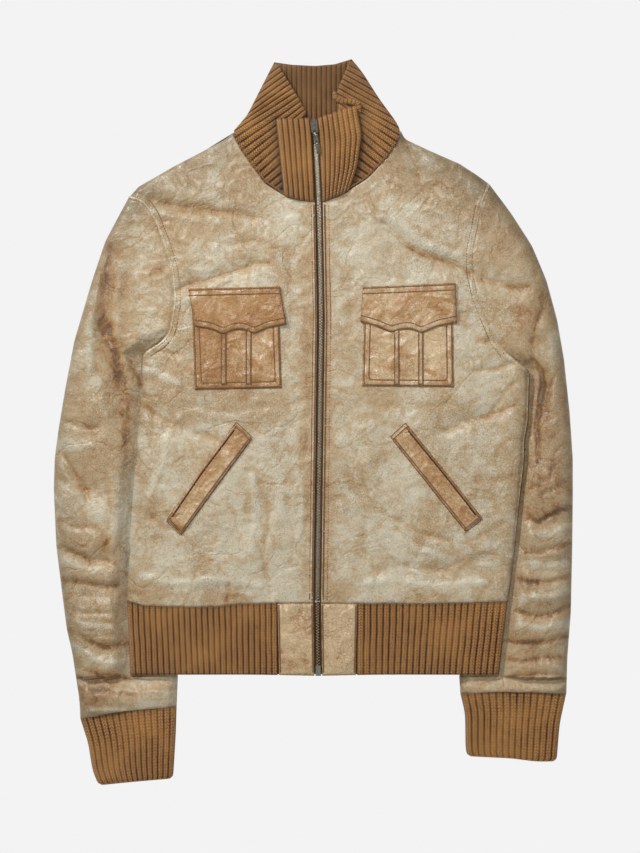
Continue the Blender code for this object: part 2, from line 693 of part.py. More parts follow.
def make_cuff(side):
    """A rib-knit cuff: a flattened tube whose upper side and folds carry the ribs."""
    left = side < 0
    outer, inner = CUFF_SIDES_L if left else CUFF_SIDES_R
    seam, end = (CUFF_SEAM_L, CUFF_END_L) if left else (CUFF_SEAM_R, CUFF_END_R)
    levels = np.array([0.0, 0.5, 1.0])
    shares = np.linspace(0, 1, 2 * CUFF_RIBS + 1)
    o, i = along(outer, levels), along(inner, levels)
    plan = blended(o, i, seam, end, np.repeat(shares[None], len(levels), axis=0), reach=0.5)
    rings, relief = [], []
    for row in plan:
        run = lengths(row)
        gap = np.minimum(run, run[-1] - run)
        z = SLEEVE_FLAT + (CUFF_TOP - SLEEVE_FLAT) * round_off(gap, CUFF_ROUND)
        low_at = np.linspace(run[-1] - 2.4, 2.4, 9)
        low = np.stack([np.interp(low_at, run, row[:, k]) for k in range(2)], axis=-1)
        top = np.concatenate([row, z[:, None]], axis=1)
        low = np.concatenate([low, np.zeros((len(low), 1))], axis=1)
        rings.append(np.concatenate([top, low]))
        ribs = RIB_HEIGHT * (np.arange(len(row)) % 2)
        relief.append(np.concatenate([ribs, np.zeros(len(low))]))
    grid, relief = np.array(rings), np.array(relief)
    if not left:
        grid, relief = grid[:, ::-1], relief[:, ::-1]
    name = "cuff_rib_left" if left else "cuff_rib_right"
    wall(name, grid[::-1], KNIT_WALL, knit(), closed=True, relief=relief[::-1])


def hem_bottom(x):
    """The hem's lower edge, a little lower at the zip."""
    return -294.6 - 1.4 * np.exp(-((np.asarray(x) - 5) / 50.0) ** 2)


def make_hem_front(side):
    """The ribbed hem of one front, with its side edge turned down on to the back hem."""
    left = side < 0
    seam = HEM_SEAM_L if left else HEM_SEAM_R
    ribs = HEM_RIBS_LEFT if left else HEM_RIBS_RIGHT
    start = seam[1]
    shares = np.linspace(0, 1, 2 * ribs + 1)
    path = seam[1:]
    top_row = along(path, shares)
    top_row[:, 1] -= SEAM / 2
    top_row[:, 0] += side * SEAM
    foot_start = start[0] + side * SEAM
    foot_x = foot_start + (float(body_edge(side, -294.6)) - foot_start) * shares
    foot = np.stack([foot_x, hem_bottom(foot_x)], axis=-1)
    levels = np.array([0.0, 0.5, 1.0])
    plan = top_row[None] * (1 - levels[:, None, None]) + foot[None] * levels[:, None, None]
    plan[:, -1, 0] = body_edge(side, plan[:, -1, 1])
    z = front_top(plan) - RIB_HEIGHT * 0.6
    grid = np.concatenate([plan, z[..., None]], axis=-1)
    rim = grid[:, -1:].copy()
    rim[:, 0, 2] = back_under(plan[:, -1]) + BACK_WALL + SEAM
    grid = np.concatenate([grid, rim], axis=1)[::-1]
    ribs_up = RIB_HEIGHT * (np.arange(grid.shape[1]) % 2)
    ribs_up[-2:] = 0
    relief = np.repeat(ribs_up[None], grid.shape[0], axis=0)
    name = "hem_rib_front_left" if left else "hem_rib_front_right"
    if left:
        grid, relief = grid[:, ::-1], relief[:, ::-1]
    wall(name, grid, KNIT_WALL, knit(), relief=relief)


def make_hem_end(side):
    """The leather end panel between the hem's ribs and the zip."""
    left = side < 0
    seam = HEM_SEAM_L if left else HEM_SEAM_R
    top_y = seam[0][1]
    zip_top = zip_x(top_y) + side * ZIP_HALF
    zip_foot = zip_x(-295.0) + side * ZIP_HALF
    joint = seam[1][0]
    foot = joint - side * 2.0
    columns = np.linspace(0, 1, 6)
    rows = np.linspace(0, 1, 6)
    grid = np.zeros((len(rows), len(columns), 3))
    for r, v in enumerate(rows):
        inner = zip_top + (zip_foot - zip_top) * v
        outer = joint + (foot - joint) * v
        x = inner + (outer - inner) * columns
        seam_y = np.interp(x * side, [p[0] * side for p in seam[:2]], [p[1] for p in seam[:2]]) - SEAM / 2
        y = seam_y + (hem_bottom(x) - seam_y) * v
        grid[r, :, 0], grid[r, :, 1] = x, y
    grid[..., 2] = front_top(grid[..., :2]) + 0.2
    name = "hem_end_left" if left else "hem_end_right"
    wall(name, upward(grid[::-1]), LEATHER_WALL + 0.2, dark_leather(), straight=True)


def make_hem_back():
    """The hem's back, plain below because it rests on the ground and on the sleeves."""
    rows = np.array([-209.3, -240.0, -270.0, -294.6])
    grid = []
    for y in rows:
        a, b = float(body_edge(-1, y)), float(body_edge(1, y))
        left_in = float(sleeve_inner(-1, y)) + 1.4
        right_in = float(sleeve_inner(1, y)) - 1.4
        middle = np.linspace(left_in + 21, right_in - 21, 7)
        x = np.array([a, left_in] + list(middle) + [right_in, b])
        drop = 2.5 * (1 - np.linspace(-1, 1, len(x)) ** 8) if y > -212 else 0.0
        y_here = np.full(len(x), y) - drop
        plan = np.stack([x, y_here], axis=-1)
        z = back_under(plan) + BACK_WALL
        grid.append(np.concatenate([plan, z[:, None]], axis=1))
    wall("hem_rib_back", upward(np.array(grid)[::-1]), BACK_WALL, knit(), straight=True)


def collar_side_top(where, side):
    """Outer height of the collar's folded sides; they sink where the front stretches cover them."""
    edge = COLLAR_EDGE_L if side < 0 else COLLAR_EDGE_R
    zip_edge, fold = COLLAR_FRONT_L if side < 0 else COLLAR_FRONT_R
    fold_x = np.interp(where[..., 1], [p[1] for p in fold], [p[0] for p in fold])
    brim = sorted([fold[-1], zip_edge[-1]])
    brim_y = np.interp(where[..., 0], [p[0] for p in brim], [p[1] for p in brim])
    clear = ((where[..., 0] - fold_x) * side > 0) | (where[..., 1] > brim_y)
    beyond = np.where(clear, distance(where, fold + [zip_edge[-1]]), 0)
    body = COLLAR_LOW + (COLLAR_MID - COLLAR_LOW) * smooth((beyond - 14) / 16)
    return COLLAR_EDGE + (body - COLLAR_EDGE) * round_off(distance(where, edge), COLLAR_ROUND)


def make_collar_side(side):
    """One folded side of the collar: ribs run from the seam or the silhouette to the rim."""
    left = side < 0
    edge = COLLAR_EDGE_L if left else COLLAR_EDGE_R
    neck = offset(neck_line(side)[::-1], -side * SEAM * 1.4, CORNER_GAP)
    rim = COLLAR_RIM_L if left else COLLAR_RIM_R
    seam_end = rim[-1]
    seam = [tuple(p) for p in neck if p[1] > seam_end[1] + 2] + [seam_end]
    start_path = edge[::-1][:-1] + seam
    edge_run = lengths(line(edge))[-1]
    start_run = lengths(line(start_path))[-1]
    rim_run = lengths(line(rim))[-1]
    ribs_edge = 7
    ribs_seam = SIDE_COLLAR_RIBS - ribs_edge
    starts = np.concatenate([np.linspace(10.0, edge_run, 2 * ribs_edge + 1),
                             np.linspace(edge_run, start_run, 2 * ribs_seam + 1)[1:]])
    from_seam = [0, edge_run, edge_run + 20, edge_run + 40, edge_run + 60, edge_run + 80, start_run]
    to_rim = [0, 44, 58, 71, 103, 140, rim_run]
    ends = np.interp(starts, from_seam, to_rim)
    a = along(start_path, starts / start_run)
    b = along(rim, ends / rim_run)
    b[-1] = a[-1] + (b[-2] - a[-2]) * 0.5
    levels = np.array([0.0, 0.15, 0.42, 0.7, 1.0])
    plan = a[None] * (1 - levels[:, None, None]) + b[None] * levels[:, None, None]
    z = collar_side_top(plan, side)
    grid = np.concatenate([plan, z[..., None]], axis=-1)
    stand = grid[:1].copy()
    low = KNIT_WALL + SEAM + RIB_HEIGHT
    on_edge = starts <= edge_run + 0.1
    stand[0, on_edge, 2] = low
    stand[0, ~on_edge] = grid[0, ~on_edge] * 1.0
    grid[0, ~on_edge, :2] = grid[0, ~on_edge, :2] * 0.7 + grid[1, ~on_edge, :2] * 0.3
    grid = np.concatenate([stand, grid], axis=0)
    ribs_up = RIB_HEIGHT * (np.arange(grid.shape[1]) % 2)
    relief = np.repeat(ribs_up[None], grid.shape[0], axis=0)
    relief[0] = 0
    if not left:
        grid, relief = grid[:, ::-1], relief[:, ::-1]
    name = "collar_side_left" if left else "collar_side_right"
    wall(name, grid, KNIT_WALL, knit(), relief=relief)


def make_collar_back():
    """The collar's back stretch: flat on the ground, with the ribs of its inner side showing."""
    count = 2 * BACK_COLLAR_RIBS + 1
    shares = np.linspace(0.02, 0.98, count)
    neck = [(x, y + SEAM * 2) for x, y in NECK_BACK]
    base = along(neck, shares)
    top_path = COLLAR_EDGE_L[:-1] + COLLAR_RIM_BACK + COLLAR_EDGE_R[::-1][1:]
    top = at_column(top_path, base[:, 0])
    levels = np.array([0.0, 0.5, 1.0])
    plan = base[None] * (1 - levels[:, None, None]) + top[None] * levels[:, None, None]
    z = np.full(plan.shape[:2], KNIT_WALL)
    grid = np.concatenate([plan, z[..., None]], axis=-1)
    relief = np.repeat((RIB_HEIGHT * (np.arange(count) % 2))[None], len(levels), axis=0)
    wall("collar_back", upward(grid), KNIT_WALL, knit(), relief=relief, straight=True)


def at_column(points, x):
    """Points of a path at given X; the path runs steadily from left to right."""
    path = line(points)
    return np.stack([x, np.interp(x, path[:, 0], path[:, 1])], axis=-1)


def make_collar_front(side):
    """A front stretch of the collar, from the zip to the line where it folds under."""
    left = side < 0
    zip_edge, fold = COLLAR_FRONT_L if left else COLLAR_FRONT_R
    ribs = 6 if left else 8
    columns = np.linspace(0, 1, 2 * ribs + 1)
    levels = np.array([0.0, 0.25, 0.5, 0.75, 1.0])
    a, b = along(zip_edge, levels), along(fold, levels)
    plan = a[:, None] * (1 - columns[None, :, None]) + b[:, None] * columns[None, :, None]
    neck = offset(neck_line(side), side * SEAM * 1.4)
    order = np.argsort(neck[:, 0])
    plan[0, :, 1] = np.interp(plan[0, :, 0], neck[order, 0], neck[order, 1])
    run = np.linalg.norm(b - a, axis=1)[:, None] * (1 - columns)[None]
    rise = COLLAR_FRONT_ZIP + (COLLAR_FRONT_TOP - COLLAR_FRONT_ZIP) * smooth(columns * 1.6)[None]
    low = COLLAR_LOW + RIB_HEIGHT + SEAM
    edge_low = low + 1.2
    z = edge_low + (rise - edge_low) * round_off(run, 7.0)
    grid = np.concatenate([plan, z[..., None]], axis=-1)
    rim = grid[:, -1:].copy()
    rim[..., 2] = low
    grid = np.concatenate([grid, rim], axis=1)
    ribs_up = RIB_HEIGHT * (np.arange(grid.shape[1]) % 2)
    ribs_up[-2:] = 0
    ribs_up[0] = 0
    relief = np.repeat(ribs_up[None], len(levels), axis=0)
    if left:
        grid, relief = grid[:, ::-1], relief[:, ::-1]
    name = "collar_front_left" if left else "collar_front_right"
    wall(name, grid, KNIT_WALL, knit(), relief=relief)


def quad_grid(corners, columns, rows):
    """A plan grid between four corners: lower left, lower right, upper right, upper left."""
    ll, lr, ur, ul = (np.array(c, dtype=float) for c in corners)
    u = np.linspace(0, 1, columns)[None, :, None]
    v = np.linspace(0, 1, rows)[:, None, None]
    return (ll * (1 - u) + lr * u) * (1 - v) + (ul * (1 - u) + ur * u) * v


def laid_on(name, plan, surface, lift, thickness, finish, bevel=0.35):
    """A flat trim piece that follows the surface under it, its rim a little lower than its middle."""
    base = surface(plan) + lift
    top = base + thickness
    top[0], top[-1] = top[0] - bevel, top[-1] - bevel
    top[1:-1, 0], top[1:-1, -1] = top[1:-1, 0] - bevel, top[1:-1, -1] - bevel
    outer = np.concatenate([plan, top[..., None]], axis=-1)
    inner = np.concatenate([plan, base[..., None]], axis=-1)
    across = outer[0, -1] - outer[0, 0]
    up = outer[-1, 0] - outer[0, 0]
    if across[0] * up[1] - across[1] * up[0] < 0:
        outer, inner = outer[:, ::-1], inner[:, ::-1]
    close_wall(name, outer, inner, finish)


def make_pocket(word):
    """A chest pocket: body, two stitched-down bands and a scalloped flap."""
    facts = POCKETS[word]
    on_front = SEAM + 0.1
    on_pocket = on_front + TRIM_WALL + SEAM
    laid_on(f"pocket_{word}", quad_grid(facts["body"], 7, 6), front_top, on_front, TRIM_WALL,
            dark_leather())
    for n, (x0, x1) in enumerate(facts["bands"], start=1):
        corners = [(x0, BAND_FOOT), (x1, BAND_FOOT), (x1, BAND_TOP), (x0, BAND_TOP)]
        laid_on(f"band_{word}_{n}", quad_grid(corners, 3, 4), front_top, on_pocket, 1.0, dark_leather(),
                bevel=0.2)
    columns = np.linspace(0, 1, 13)
    top, foot = along(facts["flap_top"], columns), along(facts["flap_edge"], columns)
    v = np.linspace(0, 1, 4)[:, None, None]
    plan = foot[None] * (1 - v) + top[None] * v
    laid_on(f"flap_{word}", plan, front_top, on_pocket, TRIM_WALL, dark_leather())


def make_welt(word):
    """A slanted welt over a hand pocket's mouth, its outer long edge a little raised."""
    upper, lower = WELTS[word]
    a, b = along(upper, np.linspace(0, 1, 9)), along(lower, np.linspace(0, 1, 9))
    v = np.linspace(0, 1, 4)[:, None, None]
    plan = b[None] * (1 - v) + a[None] * v
    laid_on(f"welt_{word}", plan, front_top, SEAM + 0.4, TRIM_WALL + 0.4, dark_leather())


def zip_strip(name, y, cross, finish):
    """A closed bar along the zip's line; cross is its section, from the zip's middle."""
    rows = len(y)
    grid = []
    for value in y:
        middle = float(zip_x(value))
        grid.append([(middle + dx, value, z) for dx, z in cross])
    rows_of_points = np.array(grid)
    count = len(cross)
    points = list(rows_of_points.reshape(-1, 3))
    faces = []
    for r in range(rows - 1):
        for c in range(count):
            d = (c + 1) % count
            a, b = r * count + c, r * count + d
            faces.append((a, b, b + count))
            faces.append((a, b + count, a + count))
    faces.append(tuple(range(count))[::-1])
    faces.append(tuple((rows - 1) * count + c for c in range(count)))
    return add_object(name, points, faces, finish)


def box_section(x0, x1, z0, z1):
    """A rectangle in the order that makes a bar's faces look out."""
    return [(x0, z1), (x1, z1), (x1, z0), (x0, z0)]


def make_zip():
    """Tapes, the chain's core and the box at its foot."""
    tape_top = FRONT_MID - LEATHER_WALL - SEAM
    rows = np.linspace(-283.6, SLIDER_LOW_END - SEAM, 14)
    for word, side in (("left", -1), ("right", 1)):
        edges = sorted((side * TAPE_INNER, side * TAPE_OUTER))
        section = box_section(edges[0], edges[1], tape_top - TAPE_WALL, tape_top)
        zip_strip(f"zip_tape_{word}", np.append(rows, 341.5), section, tape())
    chain = [(-CHAIN_HALF, CHAIN_HIGH - 0.7), (-1.2, CHAIN_HIGH), (1.2, CHAIN_HIGH),
             (CHAIN_HALF, CHAIN_HIGH - 0.7), (CHAIN_HALF, CHAIN_LOW), (-CHAIN_HALF, CHAIN_LOW)]
    zip_strip("zip_chain", rows, chain, metal())
    box = [(-3.2, 9.0), (-2.6, 9.8), (2.6, 9.8), (3.2, 9.0), (3.2, 5.4), (-3.2, 5.4)]
    zip_strip("zip_box", [-296.0, -283.9], box, metal())


def prism(outline):
    """Points and faces of a plate from its plan outline and two heights."""
    flat, low, high = outline
    count = len(flat)
    points = [(x, y, low) for x, y in flat] + [(x, y, high) for x, y in flat]
    faces = [tuple(range(count))[::-1], tuple(range(count, 2 * count))]
    for c in range(count):
        d = (c + 1) % count
        faces.append((c, d, count + d, count + c))
    return points, faces


def make_slider():
    """The slider's body with the bridge that carries the pull."""
    low, high = SLIDER_Z
    middle = float(zip_x(PIVOT[1]))
    half, core = SLIDER_HALF, CHAIN_HALF
    section = [(-half, high), (half, high), (half, SLOT_Z[1]), (core, SLOT_Z[1]), (core, SLOT_Z[0]),
               (half, SLOT_Z[0]), (half, low), (-half, low), (-half, SLOT_Z[0]), (-core, SLOT_Z[0]),
               (-core, SLOT_Z[1]), (-half, SLOT_Z[1])]
    body = zip_strip("zip_slider", [SLIDER_LOW_END, SLIDER_TOP_END], section, metal())
    pivot_y = PIVOT[1]
    legs = [(pivot_y + near, pivot_y + far) for near, far in BRIDGE_LEGS]
    bar = (legs[0][0], legs[1][1])
    section = [(bar[0], high - 0.5), (bar[0], BRIDGE_TOP - 0.8), (bar[0] + 1.0, BRIDGE_TOP),
               (bar[1] - 1.0, BRIDGE_TOP), (bar[1], BRIDGE_TOP - 0.8), (bar[1], high - 0.5),
               (legs[1][0], high - 0.5), (legs[1][0], BRIDGE_TOP - 1.5),
               (legs[0][1], BRIDGE_TOP - 1.5), (legs[0][1], high - 0.5)]
    points, faces = [], []
    count = len(section)
    for side in (-BRIDGE_HALF, BRIDGE_HALF):
        for y, z in section:
            points.append((middle + side, y, z))
    faces.append(tuple(range(count))[::-1])
    faces.append(tuple(range(count, 2 * count)))
    for c in range(count):
        d = (c + 1) % count
        faces.append((c, d, count + d, count + c))
    bridge = add_object("bridge_tool", points, faces, metal())
    bridge.hide_render = True
    bridge.display_type = "WIRE"
    join = body.modifiers.new("bridge", "BOOLEAN")
    join.operation = "UNION"
    join.object = bridge


def make_pull():
    """The pull tab: a bar under the bridge, a window round it and a slotted plate."""
    c, s = math.cos(PULL_TILT), math.sin(PULL_TILT)

    def place(across, down):
        return (PIVOT[0] + across * c + down * s, PIVOT[1] + across * s - down * c)

    half, window, bar = PULL_HALF, PULL_WINDOW_HALF, PULL_BAR / 2
    slot_half, slot = PULL_SLOT_HALF, (PULL_WINDOW + 6.0, PULL_LENGTH - 4.0)
    outer = [(-half, -bar), (half, -bar), (half, PULL_WINDOW + 1), (half, PULL_LENGTH - 1.5),
             (half - 1.5, PULL_LENGTH), (-half + 1.5, PULL_LENGTH), (-half, PULL_LENGTH - 1.5),
             (-half, PULL_WINDOW + 1)]
    low, high = PIVOT[2] - PULL_THICK / 2, PIVOT[2] + PULL_THICK / 2
    holder = bpy.data.objects.new("pull_axis", None)
    holder.location = tuple(np.array(PIVOT) * MM)
    bpy.context.scene.collection.objects.link(holder)
    points, faces = prism(([place(a, d) for a, d in reversed(outer)], low, high))
    pull = add_object("zip_pull", points, faces, metal(), origin=PIVOT)
    pull.parent = holder
    pull.location = (0, 0, 0)
    cuts = (("window_tool", window, bar, PULL_WINDOW), ("slot_tool", slot_half, slot[0], slot[1]))
    for name, wide, start, end in cuts:
        hole = [(-wide, start), (wide, start), (wide, end), (-wide, end)]
        points, faces = prism(([place(a, d) for a, d in reversed(hole)], low - 1, high + 1))
        tool = add_object(name, points, faces, metal())
        tool.hide_render = True
        tool.display_type = "WIRE"
        cut = pull.modifiers.new(name, "BOOLEAN")
        cut.operation = "DIFFERENCE"
        cut.object = tool


def build():
    """Clears the scene and makes every piece."""
    for old in list(bpy.data.objects):
        bpy.data.objects.remove(old, do_unlink=True)
    make_back()
    for side, word in ((-1, "left"), (1, "right")):
        grid = make_front(side)
        wall(f"front_{word}", upward(grid), LEATHER_WALL, leather())
        make_sleeve(side)
        make_cuff(side)
        make_hem_front(side)
        make_hem_end(side)
        make_collar_side(side)
        make_collar_front(side)
        make_pocket(word)
        make_welt(word)
    make_hem_back()
    make_collar_back()
    make_zip()
    make_slider()
    make_pull()


build()
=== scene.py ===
"""Looks of the worn leather bomber jacket: fine shells on the solids, stitching, zip teeth, finishes.

Sizes are millimetres in the jacket's frame: X across, Y from hem to collar, Z out of the front.
"""
import math

import bpy
import numpy as np
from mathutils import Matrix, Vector


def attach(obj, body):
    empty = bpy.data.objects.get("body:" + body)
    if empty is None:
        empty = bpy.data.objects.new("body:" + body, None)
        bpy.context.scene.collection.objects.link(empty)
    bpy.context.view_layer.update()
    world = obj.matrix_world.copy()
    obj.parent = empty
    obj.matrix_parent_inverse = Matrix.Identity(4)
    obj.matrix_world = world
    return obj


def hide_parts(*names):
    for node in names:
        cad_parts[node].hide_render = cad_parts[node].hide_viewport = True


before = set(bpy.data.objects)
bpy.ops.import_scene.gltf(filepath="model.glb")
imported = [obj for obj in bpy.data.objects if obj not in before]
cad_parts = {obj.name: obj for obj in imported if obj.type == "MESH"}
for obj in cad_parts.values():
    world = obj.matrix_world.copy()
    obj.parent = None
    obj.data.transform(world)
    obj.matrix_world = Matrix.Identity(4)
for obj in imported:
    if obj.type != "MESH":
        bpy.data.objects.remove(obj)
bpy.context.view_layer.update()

MM = 0.001
SEAM = 0.3
BACK_WALL = 2.0
KNIT_WALL = 2.2
TRIM_WALL = 1.3
FRONT_MID = 9.0
FRONT_RISE = 3.5
SLEEVE_RISE = 2.5
SLEEVE_FLAT = 3.7
BACK_LIFT = 4.0
PIT_RISE = 18.0
EDGE_STAND = 1.8
CUFF_TOP = 8.2
HEM_DIP = 1.2
SIDE_ROUND = 16.0
OUTER_ROUND = 20.0
CUFF_ROUND = 9.0
INNER_ROUND = 20.0
PIT_FADE = 34.0
RIB_HEIGHT = 0.8
HEM_CLEAR = -298.0
HIDDEN_EDGE = 3.6
SLIT_COVER = 1.3
ZIP_HALF = 4.6
HEM_RIBS_LEFT = 26
HEM_RIBS_RIGHT = 23
CUFF_RIBS = 15
COLLAR_MID = 8.9
COLLAR_LOW = 6.0
COLLAR_EDGE = 4.6
COLLAR_ROUND = 13.0
COLLAR_FRONT_ZIP = 9.6
COLLAR_FRONT_TOP = 11.4
ZIP_LINE = [(5.8, -296), (4.5, -211), (7, -30), (8.9, 122), (6.5, 255), (2, 338), (0.2, 354)]

# Plan outlines, each from the lower end up or from the middle out
SHOULDER_L = [(-94.5, 338), (-103.6, 330), (-163, 299), (-203.8, 275.5), (-216, 262.5)]
SHOULDER_R = [(102, 341), (107, 331), (130, 320), (171, 302), (191, 289), (206, 278)]
ARMHOLE_L = [(-199, 78.5), (-194, 83), (-176, 94), (-167, 107), (-161.5, 143), (-164.7, 177),
             (-174, 208), (-186.5, 241), (-197.5, 256), (-216, 262.5)]
ARMHOLE_R = [(250.6, 60), (224.5, 80.6), (212, 97), (200.5, 125), (192, 146), (185.5, 176),
             (185.7, 200), (191, 225), (196, 252), (206, 278)]
SIDE_L = [(-213.6, -295), (-217.5, -208.5), (-214.4, -156), (-213.4, -121), (-208.7, -59),
          (-205.4, -42), (-204, -9), (-199, 54), (-199, 78.5)]
SIDE_R = [(216.5, -295), (226.3, -209), (230, -185), (234, -147), (239, -91.5), (244, -46),
          (244.5, -21), (248.6, 1.5), (249.5, 33), (250.6, 60)]
HEM_SEAM_L = [(-0.2, -211), (-42, -211), (-90, -212.4), (-117, -216), (-197, -214.4), (-217.5, -208.5)]
HEM_SEAM_R = [(9.2, -211), (51.5, -211.7), (130, -212), (226.3, -209)]
NECK_L = [(1.9, 257), (-16.8, 259), (-31.5, 263), (-57, 279), (-83.8, 316.6), (-94.5, 338)]
NECK_R = [(11.1, 257), (34, 266), (63.6, 284.4), (86.4, 308.6), (99, 327.3), (102, 341)]
NECK_BACK = [(-94.5, 338), (-50, 333), (2, 330), (52, 334), (102, 341)]
OUTER_L = [(-272.3, -346.4), (-273.4, -324), (-282, -268), (-288, -243), (-293, -204.5), (-300.5, -144),
           (-303.4, -79), (-302.3, -42), (-298, -9), (-290, 39), (-279.4, 95), (-258.5, 166),
           (-243, 212), (-216, 262.5)]
OUTER_R = [(295.8, -317), (297, -274), (301, -223), (302.7, -147), (303.4, -84), (303.3, -42),
           (299.6, 12), (293, 74), (285, 120), (272.5, 166), (255.8, 206), (230.7, 245), (206, 278)]
INNER_L = [(-159.8, -332.2), (-158.4, -297.2), (-186.5, -36), (-192, 28), (-198.5, 50),
           (-199.8, 60), (-199.8, 78.2)]
INNER_R = [(171.9, -316.7), (170.6, -297.4), (224, -60), (238, 0), (247.5, 26), (250.9, 37), (251.8, 59)]

RINGS_L = [(73, 72.5, 72), (-204, -205, -205), (-304, -297.4, -297.2), (-326, -318, -314),
           (-346.4, -337.4, -332.2)]
RINGS_R = [(54, 53.5, 53), (-190, -200, -203), (-290, -297.4, -297.4), (-304, -306, -308),
           (-317, -316, -316.7)]

CUFF_SEAM_L = [(-272.2, -346.9), (-226, -337.8), (-198, -335.4), (-159.8, -332.6)]
CUFF_END_L = [(-251, -424.1), (-216, -420.5), (-195, -418.6), (-164, -416)]
CUFF_SIDES_L = ([(-272.2, -346.9), (-263.4, -374), (-258, -408), (-251, -424.1)],
                [(-159.8, -332.6), (-160.7, -363), (-162.4, -392), (-164, -416)])
CUFF_SEAM_R = [(295.6, -317.4), (240, -314.7), (208, -315.1), (171.9, -317.2)]
CUFF_END_R = [(284.4, -396), (261, -396.4), (232, -392.6), (180, -390)]
CUFF_SIDES_R = ([(295.6, -317.4), (288, -352), (285.3, -385), (284.4, -396)],
                [(171.9, -317.2), (177.4, -340), (178, -386), (180, -390)])

FOLDS = [
    ([(-177, 252), (-117, 247), (-69, 241)], 11, -2.2),
    ([(-158, 153), (-138, 166), (-104, 174), (-72, 183)], 10, -1.6),
    ([(87, 227), (127, 196), (159, 184), (198, 168), (234, 157)], 12, -2.6),
    ([(108, 314), (122, 292), (140, 276)], 12, -2.0),
    ([(-236, 199), (-242, 141), (-242, 100), (-227, 64), (-224, 1.5)], 11, -3.4),
    ([(-262, 120), (-268, 60), (-262, 10)], 13, 2.0),
    ([(-300, -148), (-262, -162), (-238, -160)], 11, -3.2),
    ([(-300, -190), (-262, -198), (-236, -200)], 11, -3.0),
    ([(-298, -30), (-275, -67), (-250, -84)], 12, -2.8),
    ([(-292, -258), (-250, -272), (-222, -264)], 11, -2.6),
    ([(-278, -306), (-236, -308), (-186, -304)], 9, -2.2),
    ([(262, 92), (268, 43), (262, -9), (266, -50)], 11, -3.4),
    ([(300, -108), (268, -120), (250, -112)], 10, -3.0),
    ([(300, -160), (268, -170), (246, -166)], 10, -3.0),
    ([(300, -214), (264, -226), (242, -222)], 10, -3.0),
    ([(296, -262), (262, -270), (228, -264)], 10, -2.6),
    ([(-205, 20), (-150, -10), (-112, -20)], 14, -1.6),
    ([(-120, -185), (-60, -150), (-20, -80)], 16, 1.4),
    ([(60, -160), (130, -178), (214, -168)], 15, -1.8),
    ([(236, 20), (180, 2), (150, -10)], 14, -1.8),
    ([(30, 60), (60, 20), (70, -40)], 15, 1.4),
]

# Chest pockets: corners of the body and of the flap, then the flap's lower edge
POCKETS = {
    "left": {
        "body": [(-138.2, 38), (-36.8, 40), (-40.5, 150), (-142, 148)],
        "flap_top": [(-145.8, 155.8), (-39, 158.5)],
        "flap_edge": [(-138.6, 111.6), (-118, 108), (-104.7, 101.8), (-95, 107), (-85.9, 108.2),
                      (-78, 107), (-69.8, 102.2), (-54, 109.5), (-31.4, 114.3)],
        "bands": [(-108.2, -101.3), (-79.2, -72.0)],
    },
    "right": {
        "body": [(57.2, 42), (163.8, 41), (162.5, 155), (59.5, 152)],
        "flap_top": [(57.6, 158), (165.7, 162.4)],
        "flap_edge": [(55, 117), (74, 111.5), (91.5, 104), (101, 107.6), (109.3, 108.4),
                      (117, 107.6), (125.5, 102.7), (144, 111), (167.5, 116)],
        "bands": [(94.0, 100.5), (122.0, 128.6)],
    },
}
BAND_TOP = 97.0
BAND_FOOT = 44.0

# Hand pocket welts: inner corner, top, outer, bottom, as a band with two long edges
WELTS = {
    "left": ([(-90.6, -1.3), (-132, -56), (-170.7, -113.8)], [(-71.8, -19), (-113, -74), (-154, -131)]),
    "right": ([(108.5, -2.3), (153, -56), (196.6, -111.7)], [(90.9, -18), (134, -72), (177.4, -126.9)]),
}

# Collar, folded flat: silhouette, rim and the lines where its front stretches fold under
COLLAR_EDGE_L = [(-93.6, 340.2), (-77, 359.4), (-62, 389), (-45.6, 421)]
COLLAR_EDGE_R = [(101.0, 343.4), (95.7, 352.8), (76.9, 378.2), (58, 408), (44.8, 424.6)]
COLLAR_RIM_BACK = [(-45.6, 421), (-25, 418), (2, 416.6), (25, 418.6), (44.8, 424.6)]
COLLAR_RIM_L = [(-45.6, 421), (-39.6, 415), (-20, 383), (-7, 361), (-14.6, 345), (-23, 300), (-31, 268)]
COLLAR_RIM_R = [(44.8, 424.6), (39, 414), (25.6, 382), (30, 374), (27, 350), (28, 310), (38, 271)]
COLLAR_FRONT_L = ([(1.4, 257.8), (-2.4, 338), (-4.4, 355)], [(-34.2, 265.4), (-39, 312), (-43.6, 354)])
COLLAR_FRONT_R = ([(10.6, 257.8), (6.6, 338), (4.6, 355)],
                  [(42, 271.5), (52, 300), (56.8, 335.3), (50.5, 370)])


def line(points):
    """A path as an array."""
    return np.array(points, dtype=float)


def lengths(path):
    """Distance along a path at each of its points."""
    steps = np.linalg.norm(np.diff(path, axis=0), axis=1)
    return np.concatenate([[0.0], np.cumsum(steps)])


def along(points, where):
    """Points at distances along a path, where 1 is its whole length."""
    path = line(points)
    run = lengths(path)
    at = np.asarray(where, dtype=float) * run[-1]
    return np.stack([np.interp(at, run, path[:, k]) for k in range(path.shape[1])], axis=-1)


def at_height(points, y):
    """Points of a path at heights y on the page; the path climbs steadily."""
    path = line(sorted(points, key=lambda p: p[1]))
    y = np.asarray(y, dtype=float)
    return np.stack([np.interp(y, path[:, 1], path[:, 0]), y], axis=-1)


def distance(where, points):
    """Distance of each plan point from a path."""
    path = line(points)
    where = np.asarray(where, dtype=float)[..., None, :]
    step = path[1:] - path[:-1]
    share = ((where - path[:-1]) * step).sum(-1) / (step * step).sum(-1)
    nearest = path[:-1] + np.clip(share, 0, 1)[..., None] * step
    return np.linalg.norm(where - nearest, axis=-1).min(-1)


def smooth(value):
    """A soft step from 0 to 1."""
    t = np.clip(value, 0, 1)
    return t * t * (3 - 2 * t)


def round_off(gap, width):
    """The height of a round shoulder, from 0 at an edge to 1 at one width inside it."""
    t = np.clip(gap / width, 0, 1)
    return np.sqrt(1 - (1 - t) ** 2)


